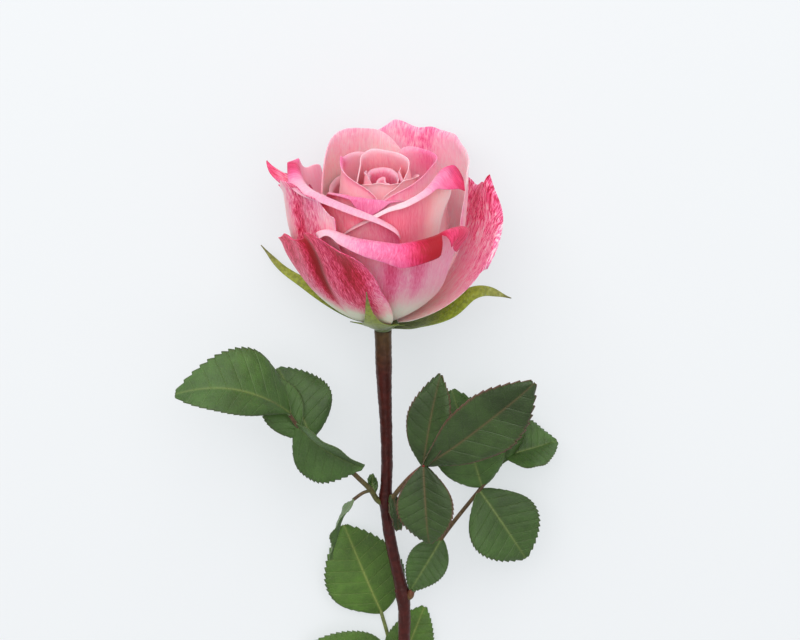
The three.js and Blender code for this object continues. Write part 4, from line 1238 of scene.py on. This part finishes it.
@dataclass(frozen=True)
class Stem:
    """The woody shoot with its swollen nodes, dormant bud and prickles.

    The radius is least_radius, more by neck_gain and foot_gain over their spans of height, and by
    swell at the nodes. Each prickle is its place on the centre line and its azimuth in degrees. Its
    axis starts prickle_root mm from there and runs through prickle_line, mm outwards and upwards.
    """

    line: tuple[Triple, ...] = (
        (3.0, -230, 0), (4.4, -205, 0), (5.6, -180, 0), (6.8, -152, 0), (7.7, -127, 0),
        (7.4, -109.5, 0), (4.1, -92.8, 0), (1.9, -80.2, 0), (0.9, -68, 0), (1.3, -54.4, 0),
        (1.1, -40, 0), (0.4, -20.8, 0), (0, 0, 0))
    least_radius: float = 2.15
    neck_gain: float = 0.9
    neck_span: tuple[float, float] = (-42, -10)
    foot_gain: float = 0.75
    foot_span: tuple[float, float] = (-230, -70)
    nodes: Triple = (-68, -108, -164)
    swell: float = 0.55
    spread: float = 3.5
    prickles: tuple[tuple[Triple, float], ...] = (
        ((5.5, -183, 0), -62), ((4.7, -199, 0), 70), ((4.0, -213, 0), -25))
    prickle_root: float = 1.6
    prickle_line: tuple[tuple[float, float], ...] = ((0, 0), (2.2, -0.2), (4.8, -1.6))
    bud_line: tuple[Triple, ...] = ((9.1, -109, 1.1), (10.0, -106.6, 1.3), (10.6, -104, 1.2))
    pith_share: float = 0.78
    bark: SkinFinish = SkinFinish(
        "bark", ((0.0, (0.085, 0.018, 0.008)), (0.35, (0.075, 0.010, 0.007)), (0.7, (0.050, 0.005, 0.004)),
                 (0.93, (0.060, 0.007, 0.004)), (1.0, (0.09, 0.05, 0.015))),
        pale=(0.20, 0.09, 0.08), pale_share=0.2, roughness=0.38, grain=420.0, sheen=0.0)
    bud_finish: SkinFinish = SkinFinish(
        "bud", ((0.0, (0.10, 0.09, 0.025)), (1.0, (0.22, 0.05, 0.03))), pale=(0.5, 0.4, 0.2))
    prickle_finish: SkinFinish = SkinFinish(
        "prickle", ((0.0, (0.10, 0.03, 0.015)), (1.0, (0.30, 0.16, 0.07))), roughness=0.3)
    pith_finish: SkinFinish = SkinFinish(
        "cut_wood", ((0.0, (0.42, 0.46, 0.22)), (1.0, (0.42, 0.46, 0.22))), roughness=0.7, grain=1500.0)

    rows = 620
    sides = 48
    bark_relief = 0.05  # mm
    ring_relief = 0.16  # mm
    prickle_rows = 24
    prickle_sides = 16
    bud_rows = 28
    bud_sides = 20

    def radius(self, y: Array) -> Array:
        """Radius at a height: a neck, a thicker foot and a Gaussian swelling at each node.

        Args:
            y: heights above the foot of the calyx.

        Returns:
            The radius at each.
        """
        neck = self.neck_gain * ramp(y, *self.neck_span)
        foot = self.foot_gain * (1 - ramp(y, *self.foot_span))
        swell = sum(np.exp(-(((y - node) / self.spread) ** 2)) for node in self.nodes)
        return self.least_radius + neck + foot + self.swell * swell

    def shaft(self) -> Skin:
        """The shaft, its bark slightly uneven and ringed by a leaf's scar at each node.

        Returns:
            The bar.
        """
        path = smooth_path(self.line, self.rows)
        turn = np.linspace(0, 2 * math.pi, self.sides, endpoint=False)[None, :]
        height = path[:, 1][:, None]
        bumps = self.bark_relief * ripples(3 * np.cos(turn) + 0 * height, height * 0.9, 5)
        bumps = bumps + self.bark_relief * ripples(6 * np.sin(turn) + 0 * height, height * 2.6, 6)
        for node in self.nodes:
            ring = (height - node - 2.4 - np.cos(turn)) / 0.35
            bumps = bumps + self.ring_relief * np.exp(-(ring**2))
        return bar(path, self.radius(path[:, 1]), self.sides, slant=LIE.cut_slant, bumps=bumps)

    def prickle(self, at: Triple, azimuth: float) -> Skin:
        """A prickle: a flattened cone that hooks towards the foot of the stem.

        Args:
            at: its place on the stem's centre line.
            azimuth: where it points, in degrees.

        Returns:
            The cone, which starts inside the bark.
        """
        turn = math.radians(azimuth)
        out = np.array([math.sin(turn), 0, math.cos(turn)])
        root = np.array(at, float) + out * self.prickle_root
        points = [tuple(root + out * r + [0, h, 0]) for r, h in self.prickle_line]
        path = smooth_path(points, self.prickle_rows)
        share = np.linspace(0, 1, self.prickle_rows)
        radius = 0.06 + 1.0 * (1 - share) ** 1.5
        turns = np.linspace(0, 2 * math.pi, self.prickle_sides, endpoint=False)
        flare = 0.9 * np.cos(turns)[None, :] ** 2 * ((1 - share) ** 2.5)[:, None]
        lean = (1e-3, 0, 1) if abs(azimuth) > 45 else (1, 0, 0)
        return bar(path, radius, self.prickle_sides, lean, bumps=flare)

    def bud(self) -> Skin:
        """The dormant bud in the second node's axil: a pointed egg of two scales.

        Returns:
            The bar that the egg is.
        """
        path = smooth_path(self.bud_line, self.bud_rows)
        share = np.linspace(0, 1, self.bud_rows)
        radius = 0.08 + 1.35 * np.sin(math.pi * share**0.8) ** 0.7
        turns = np.linspace(0, 2 * math.pi, self.bud_sides, endpoint=False)
        scale = 0.12 * np.sign(np.sin(turns))[None, :] * np.sin(math.pi * share)[:, None]
        return bar(path, radius, self.bud_sides, bumps=scale)

    def pith(self) -> Skin:
        """The pale wood that shows in the cut, a thin disc that stands 0.08 mm out of it.

        Returns:
            The disc, cut on the same slant as the shaft.
        """
        start, along = np.array(self.line[0]), unit(np.array(self.line[1]) - np.array(self.line[0]))
        path = start + along * np.array([-0.08, 0.5])[:, None]
        radius = np.full(2, self.radius(start[1]) * self.pith_share)
        return bar(path, radius, self.sides, slant=LIE.cut_slant * self.pith_share)

    def build(self) -> None:
        """Makes the shaft, the pith in its cut, the bud and the prickles."""
        self.shaft().piece("stem_shaft", "stem", Slot.STEM, self.bark.material())
        self.pith().piece("stem_pith", "stem", Slot.STEM, self.pith_finish.material())
        self.bud().piece("stem_bud", "stem", Slot.STEM, self.bud_finish.material())
        horn = self.prickle_finish.material()
        for k, (at, azimuth) in enumerate(self.prickles):
            self.prickle(at, azimuth).piece(f"prickle_{k + 1}", "stem", Slot.STEM, horn)


# ---- leaves ----


@dataclass(frozen=True)
class Leaflet:
    """A serrated leaflet from base to tip, its upper side facing `face`.

    `arch` lifts its middle, `fold` raises both halves from the midrib, and `twist` turns it about
    the midrib towards the tip. `full` is the power of the length's share that moves the widest
    place to the tip, and `tuck` the share by which one half is drawn in at the base.
    """

    base: Triple
    tip: Triple
    width: float
    face: Triple
    arch: float = 0.0
    fold: float = 12.0
    twist: float = 0.0
    full: float = 0.86
    tuck: float = 0.0
    teeth: int = 19
    veins: int = 8
    rows = 190
    columns = 41
    thickness = 0.5
    narrowest = 0.45  # mm, half the width at base and tip
    tooth_peak = 0.78  # share of a tooth's length
    tooth_height = 0.045  # share of half the width
    vein_rake = 0.17  # share of the length that a vein runs forward
    groove = 0.18  # mm, depth of the veins

    def skin(self, seed: int) -> Skin:
        """The leaflet as a thin closed sheet, with its veins pressed in and its margin toothed.

        Half its width is a power of the sine of the share of its length. The blade is quilted by the
        sine of the veins' phase, which lags towards the margin, and the teeth are a saw of the share.

        Args:
            seed: makes the leaflet's waves its own.

        Returns:
            The sheet, with the fields of its finish.
        """
        start, end = np.array(self.base, float), np.array(self.tip, float)
        along = unit(end - start)
        face = np.array(self.face, float)
        face = unit(face - along * (face @ along))
        share = np.linspace(0, 1, self.rows)[:, None]
        u = np.linspace(-1, 1, self.columns)[None, :] * np.ones((self.rows, 1))
        side = np.abs(u)
        up = turned(face[None], along[None], np.radians(self.twist) * share[:, 0])
        across = np.cross(along[None], up)
        belly = np.sin(math.pi * share**self.full) ** 0.8
        saw = (share * self.teeth) % 1.0
        tooth = np.where(saw < self.tooth_peak, saw / self.tooth_peak, (1 - saw) / (1 - self.tooth_peak))
        tooth = tooth * ramp(share, 0.03, 0.12)
        edge = side**9
        half = self.narrowest + self.width / 2 * belly * np.where(u < 0, 1 - self.tuck * (1 - share), 1.0)
        reach = half * (0.985 + self.tooth_height * tooth * edge)
        phase = self.veins * (share - self.vein_rake * side**0.9 * belly)
        quilt = self.groove * (np.abs(np.sin(math.pi * phase)) ** 0.8 - 0.5) * ramp(side, 0.03, 0.25)
        quilt = quilt * (1 - side**5) * belly
        keel = -0.35 * np.exp(-((u * half / 0.8) ** 2))
        lift = np.sin(math.radians(self.fold)) * side * (reach - self.narrowest)
        lift = lift + quilt + keel + 0.7 * side**3 * ripples(6 * u, 14 * share, seed)
        lift = lift + 0.5 * ripples(2.5 * u, 6 * share, seed + 50) * belly
        lift = lift - 0.05 * self.width * u**4 * belly
        spread = self.narrowest * u + math.cos(math.radians(self.fold)) * u * (reach - self.narrowest)
        forward = 0.42 * tooth * edge * np.linalg.norm(end - start) / self.teeth
        arch = (4 * self.arch * share * (1 - share))[..., None] * up[:, None]
        rib = start + (end - start) * share[..., None] + arch
        grid = (rib + across[:, None] * spread[..., None] + up[:, None] * lift[..., None]
                + along * forward[..., None])
        thickness = self.thickness * (1 - 0.45 * side**3) + 0.5 * np.exp(-((u * half / 0.7) ** 2))
        rib_near = np.exp(-((u * half / 0.5) ** 2)) * (1 - 0.5 * share)
        margin = ramp(side, 0.93, 1.0)
        upper, under = np.zeros_like(u), np.ones_like(u)
        faces = {"under": (upper, under), "rib": (rib_near, rib_near), "margin": (margin, margin)}
        chart = np.stack([phase + np.zeros_like(u), side], -1)
        return sheet(LIE.rest(grid, thickness), thickness, faces, chart)


@dataclass(frozen=True)
class Leaf:
    """A compound leaf: a stalk that thins from the first to the second of its radii, and leaflets."""

    node: str
    slot: Slot
    finish: LeafFinish
    stalk: tuple[Triple, ...]
    radii: tuple[float, float]
    leaflets: tuple[Leaflet, ...]
    twigs: tuple[tuple[Triple, ...], ...] = ()
    stalk_finish: SkinFinish = SkinFinish(
        "stalk_brown", ((0.0, (0.10, 0.12, 0.03)), (0.4, (0.12, 0.075, 0.03)), (1.0, (0.11, 0.06, 0.03))))
    stalk_rows = 90
    stalk_sides = 16
    twig_rows = 20
    twig_sides = 12

    def stalks(self) -> Skin:
        """The stalk, which thins with the root of its length, and its twigs, as one mesh.

        Returns:
            The joined bars.
        """
        share = np.linspace(0, 1, self.stalk_rows)
        radius = self.radii[0] + (self.radii[1] - self.radii[0]) * np.sqrt(share)
        twig_radius = np.full(self.twig_rows, self.radii[1])
        return joined([bar(smooth_path(self.stalk, self.stalk_rows), radius, self.stalk_sides)]
                      + [bar(smooth_path(twig, self.twig_rows), twig_radius, self.twig_sides)
                         for twig in self.twigs])

    def build(self, seed: int) -> None:
        """Makes the stalk and the leaflets.

        Args:
            seed: the first leaflet's; each one's is 1 more than the last one's.
        """
        blade = self.finish.material()
        self.stalks().piece(f"{self.node}_stalk", self.node, self.slot, self.stalk_finish.material())
        for k, leaflet in enumerate(self.leaflets):
            leaflet.skin(seed + k).piece(f"{self.node}_leaflet_{k + 1}", self.node, self.slot, blade)


MID_GREEN = LeafFinish("leaf_green", upper=(0.046, 0.100, 0.021), lower=(0.16, 0.24, 0.12),
                       vein=(0.13, 0.20, 0.07), rib=(0.16, 0.22, 0.06), margin=(0.06, 0.09, 0.03))
DARK_GREEN = LeafFinish("leaf_dark_green", upper=(0.030, 0.060, 0.014), lower=(0.13, 0.18, 0.10),
                        vein=(0.06, 0.10, 0.035), rib=(0.13, 0.09, 0.04), margin=(0.13, 0.04, 0.035),
                        roughness=0.38)
SOFT_GREEN = LeafFinish("leaf_soft_green", upper=(0.060, 0.130, 0.018), lower=(0.18, 0.26, 0.12),
                        vein=(0.20, 0.28, 0.08), rib=(0.26, 0.32, 0.08), margin=(0.08, 0.13, 0.04),
                        roughness=0.5)
RED_STALK = SkinFinish(
    "stalk_red", ((0.0, (0.12, 0.10, 0.03)), (0.6, (0.14, 0.07, 0.025)), (1.0, (0.24, 0.02, 0.02))))
SOFT_STALK = SkinFinish("stalk_soft", ((0.0, (0.11, 0.14, 0.03)), (1.0, (0.20, 0.24, 0.08))))

LEAVES: tuple[Leaf, ...] = (
    Leaf("leaf_left", Slot.LEAF, MID_GREEN,
         ((0.9, -70, 0), (-2.2, -67.5, 1), (-4.6, -63, 2), (-9, -57.2, 4), (-19.3, -45.6, 6),
          (-30, -35.5, 8), (-34.4, -28.2, 9)), (1.25, 0.65),
         (Leaflet((-33.6, -29, 9), (-73.4, -16.5, 20), 33, (-0.1, 0.72, 0.7), 11, 8, 12, tuck=0.85),
          Leaflet((-26, -39.6, 7), (-38.5, -18.5, -8), 26, (0.2, 0.35, 0.9), 3),
          Leaflet((-31.6, -33.6, 8), (-7.4, -47.5, 15), 29, (-0.38, -0.35, 0.85), 2, 34),
          Leaflet((-10.6, -65.8, 4), (-19.3, -89.5, 6), 10, (0.97, -0.2, 0.12), -1.5, -8),
          Leaflet((-30.5, -35, 8), (-45, -20.5, -5), 15, (-0.2, 0.7, 0.6), 2),
          Leaflet((-3.6, -65, 1.4), (-4.2, -57.8, -0.2), 3, (0.5, 0.2, 0.9), teeth=5)),
         (((-4.6, -63, 2), (-7.5, -63.6, 3), (-11.2, -66, 4)),)),
    Leaf("leaf_right_front", Slot.LEAF_DARK, DARK_GREEN,
         ((0.9, -70, 0), (3.1, -66.5, 2), (6.2, -60.1, 6), (10.2, -52.8, 11), (15, -46, 16)),
         (1.2, 0.7),
         (Leaflet((14.2, -47, 15.6), (53.2, -11.6, 22), 25, (0.15, -0.1, 1), 3, 10, full=1.2),
          Leaflet((14.6, -47, 15.8), (20.6, -12.2, 13), 16, (-0.4, -0.25, 0.9), 2.5, 16, full=1.0),
          Leaflet((14.6, -46.4, 15.8), (16.8, -76, 19), 20.5, (-0.1, -0.4, 0.9), 2.5, 14, full=1.0),
          Leaflet((3.4, -64.6, 2.6), (5.6, -78, 4.5), 5, (0.5, 0, 0.9), teeth=5)),
         stalk_finish=RED_STALK),
    Leaf("leaf_right_back", Slot.LEAF, MID_GREEN,
         ((7.4, -110, 0), (10.8, -106.5, -0.6), (15.5, -97, -2), (21.3, -85.9, -3),
          (36.1, -66.2, -6), (46, -53.4, -8.2)), (1.2, 0.65),
         (Leaflet((45.3, -54.2, -8), (64.5, -50.4, -13), 23, (-0.1, 0.8, 0.6), 1, 26),
          Leaflet((36.6, -65.6, -6), (25.2, -29, -12), 27, (0.1, 0.2, 1), 3),
          Leaflet((35.6, -66.8, -6), (53, -92.5, -1), 27, (0.25, 0.1, 0.95), 4, full=0.95),
          Leaflet((43.6, -56.6, -7.6), (38.2, -31, -15), 22, (0.1, 0.25, 0.9), 2),
          Leaflet((21.6, -85.4, -3), (10.2, -103.4, 3.5), 14.5, (-0.3, -0.2, 0.95), 2))),
    Leaf("leaf_low_back", Slot.LEAF, SOFT_GREEN,
         ((6.2, -166, 0), (5.6, -161.5, -3.2), (4.8, -155, -6.6), (3.3, -145.5, -9.4),
          (1.9, -133.4, -11), (-1.3, -120.6, -12)), (1.2, 0.7),
         (Leaflet((-0.9, -121.6, -12), (-15, -86, -15), 30, (0.05, 0.1, 1), 2),
          Leaflet((3.4, -145, -9.6), (-30, -134.5, -7.6), 27, (-0.1, 0.1, 1), 2),
          Leaflet((4, -147, -9.2), (15.4, -120, -13.4), 18, (0, 0.1, 1), 2)),
         stalk_finish=SOFT_STALK),
)
LEAF_SEEDS = range(300, 340, 10)  # each leaf's first, with the next ones for its leaflets


# ---- studio ----


@dataclass(frozen=True)
class Studio:
    """A pale glowing floor, broad soft light and the camera at the photograph's angle, in metres.

    Each lamp has a name, the direction it hangs in, in the rose's frame, its size, power and colour.
    The camera aims at a point `aim` to the right of and above the foot of the calyx, and `width` is
    how much it sees across there.
    """

    elevation: float = math.radians(22)
    distance: float = 0.9
    width: float = 0.288
    aim: tuple[float, float] = (0.00612, 0.0036)
    sensor: float = 36.0
    floor_size: float = 6.0
    lamps: tuple[tuple[str, Triple, float, float, Triple], ...] = (
        ("key", (-0.2, 1.0, 0.8), 1.9, 26.0, (1.0, 0.985, 0.965)),
        ("fill", (0.3, 0.2, 1.0), 1.8, 5.0, (0.95, 0.975, 1.0)))
    lamp_distance: float = 1.5
    lit_place: Triple = (0, 0.01, 0.01)
    room_colour: Triple = (1.0, 0.97, 0.955)
    room_light: float = 0.55

    def floor(self) -> None:
        """Lays the floor."""
        s = Shader("floor")
        s.set(Base_Color=(0.30, 0.305, 0.31), Roughness=0.9, Specular_IOR_Level=0.1,
              Emission_Color=(0.92, 0.965, 1.0), Emission_Strength=0.58)
        half = self.floor_size / 2
        mesh = bpy.data.meshes.new("floor")
        mesh.from_pydata([(-half, -half, 0), (half, -half, 0), (half, half, 0), (-half, half, 0)], [],
                         [(0, 1, 2, 3)])
        mesh.materials.append(s.material)
        made = in_scene("floor", mesh)

    def light(self, name: str, towards: Triple, size: float, power: float, colour: Triple) -> None:
        """Hangs a square softbox that faces the bloom.

        Args:
            name: of the lamp.
            towards: the direction it hangs in, in the rose's frame.
            size: of its side.
            power: in watts.
            colour: of its light.
        """
        lamp = bpy.data.lights.new(name, "AREA")
        lamp.shape, lamp.size, lamp.energy, lamp.color = "SQUARE", size, power, colour
        made = in_scene(name, lamp)
        direction = LIE.matrix.to_3x3() @ Vector(towards).normalized()
        made.location = LIE.matrix @ Vector(self.lit_place) + direction * self.lamp_distance
        made.rotation_euler = direction.to_track_quat("Z", "Y").to_euler()

    def camera(self) -> None:
        """Sets the camera: its view turns the rose's z axis up by the elevation."""
        c, s = math.cos(self.elevation), math.sin(self.elevation)
        right, up, back = Vector((1, 0, 0)), Vector((0, c, -s)), Vector((0, s, c))
        place = right * self.aim[0] + up * self.aim[1] + back * self.distance
        turn = Matrix((right, up, back)).transposed().to_4x4()
        lens = bpy.data.cameras.new("camera")
        lens.sensor_width = self.sensor
        lens.lens = self.sensor * self.distance / self.width
        made = in_scene("camera", lens)
        made.matrix_world = LIE.matrix @ (Matrix.Translation(place) @ turn)
        bpy.context.scene.camera = made

    def build(self) -> None:
        """Sets up the whole studio."""
        self.floor()
        for lamp in self.lamps:
            self.light(*lamp)
        world = bpy.data.worlds.new("room")
        world.use_nodes = True
        background = world.node_tree.nodes["Background"]
        background.inputs["Color"].default_value = (*self.room_colour, 1)
        background.inputs["Strength"].default_value = self.room_light
        bpy.context.scene.world = world
        bpy.context.scene.view_settings.view_transform = "Standard"
        self.camera()


def main() -> None:
    """Builds the rose from its foot to its bloom, and then the studio."""
    logging.basicConfig(level=logging.INFO, format="%(message)s")
    Stem().build()
    Calyx().build()
    Bloom().build()
    for leaf, seed in zip(LEAVES, LEAF_SEEDS, strict=True):
        leaf.build(seed)
    Studio().build()


if __name__ == "__main__":
    main()
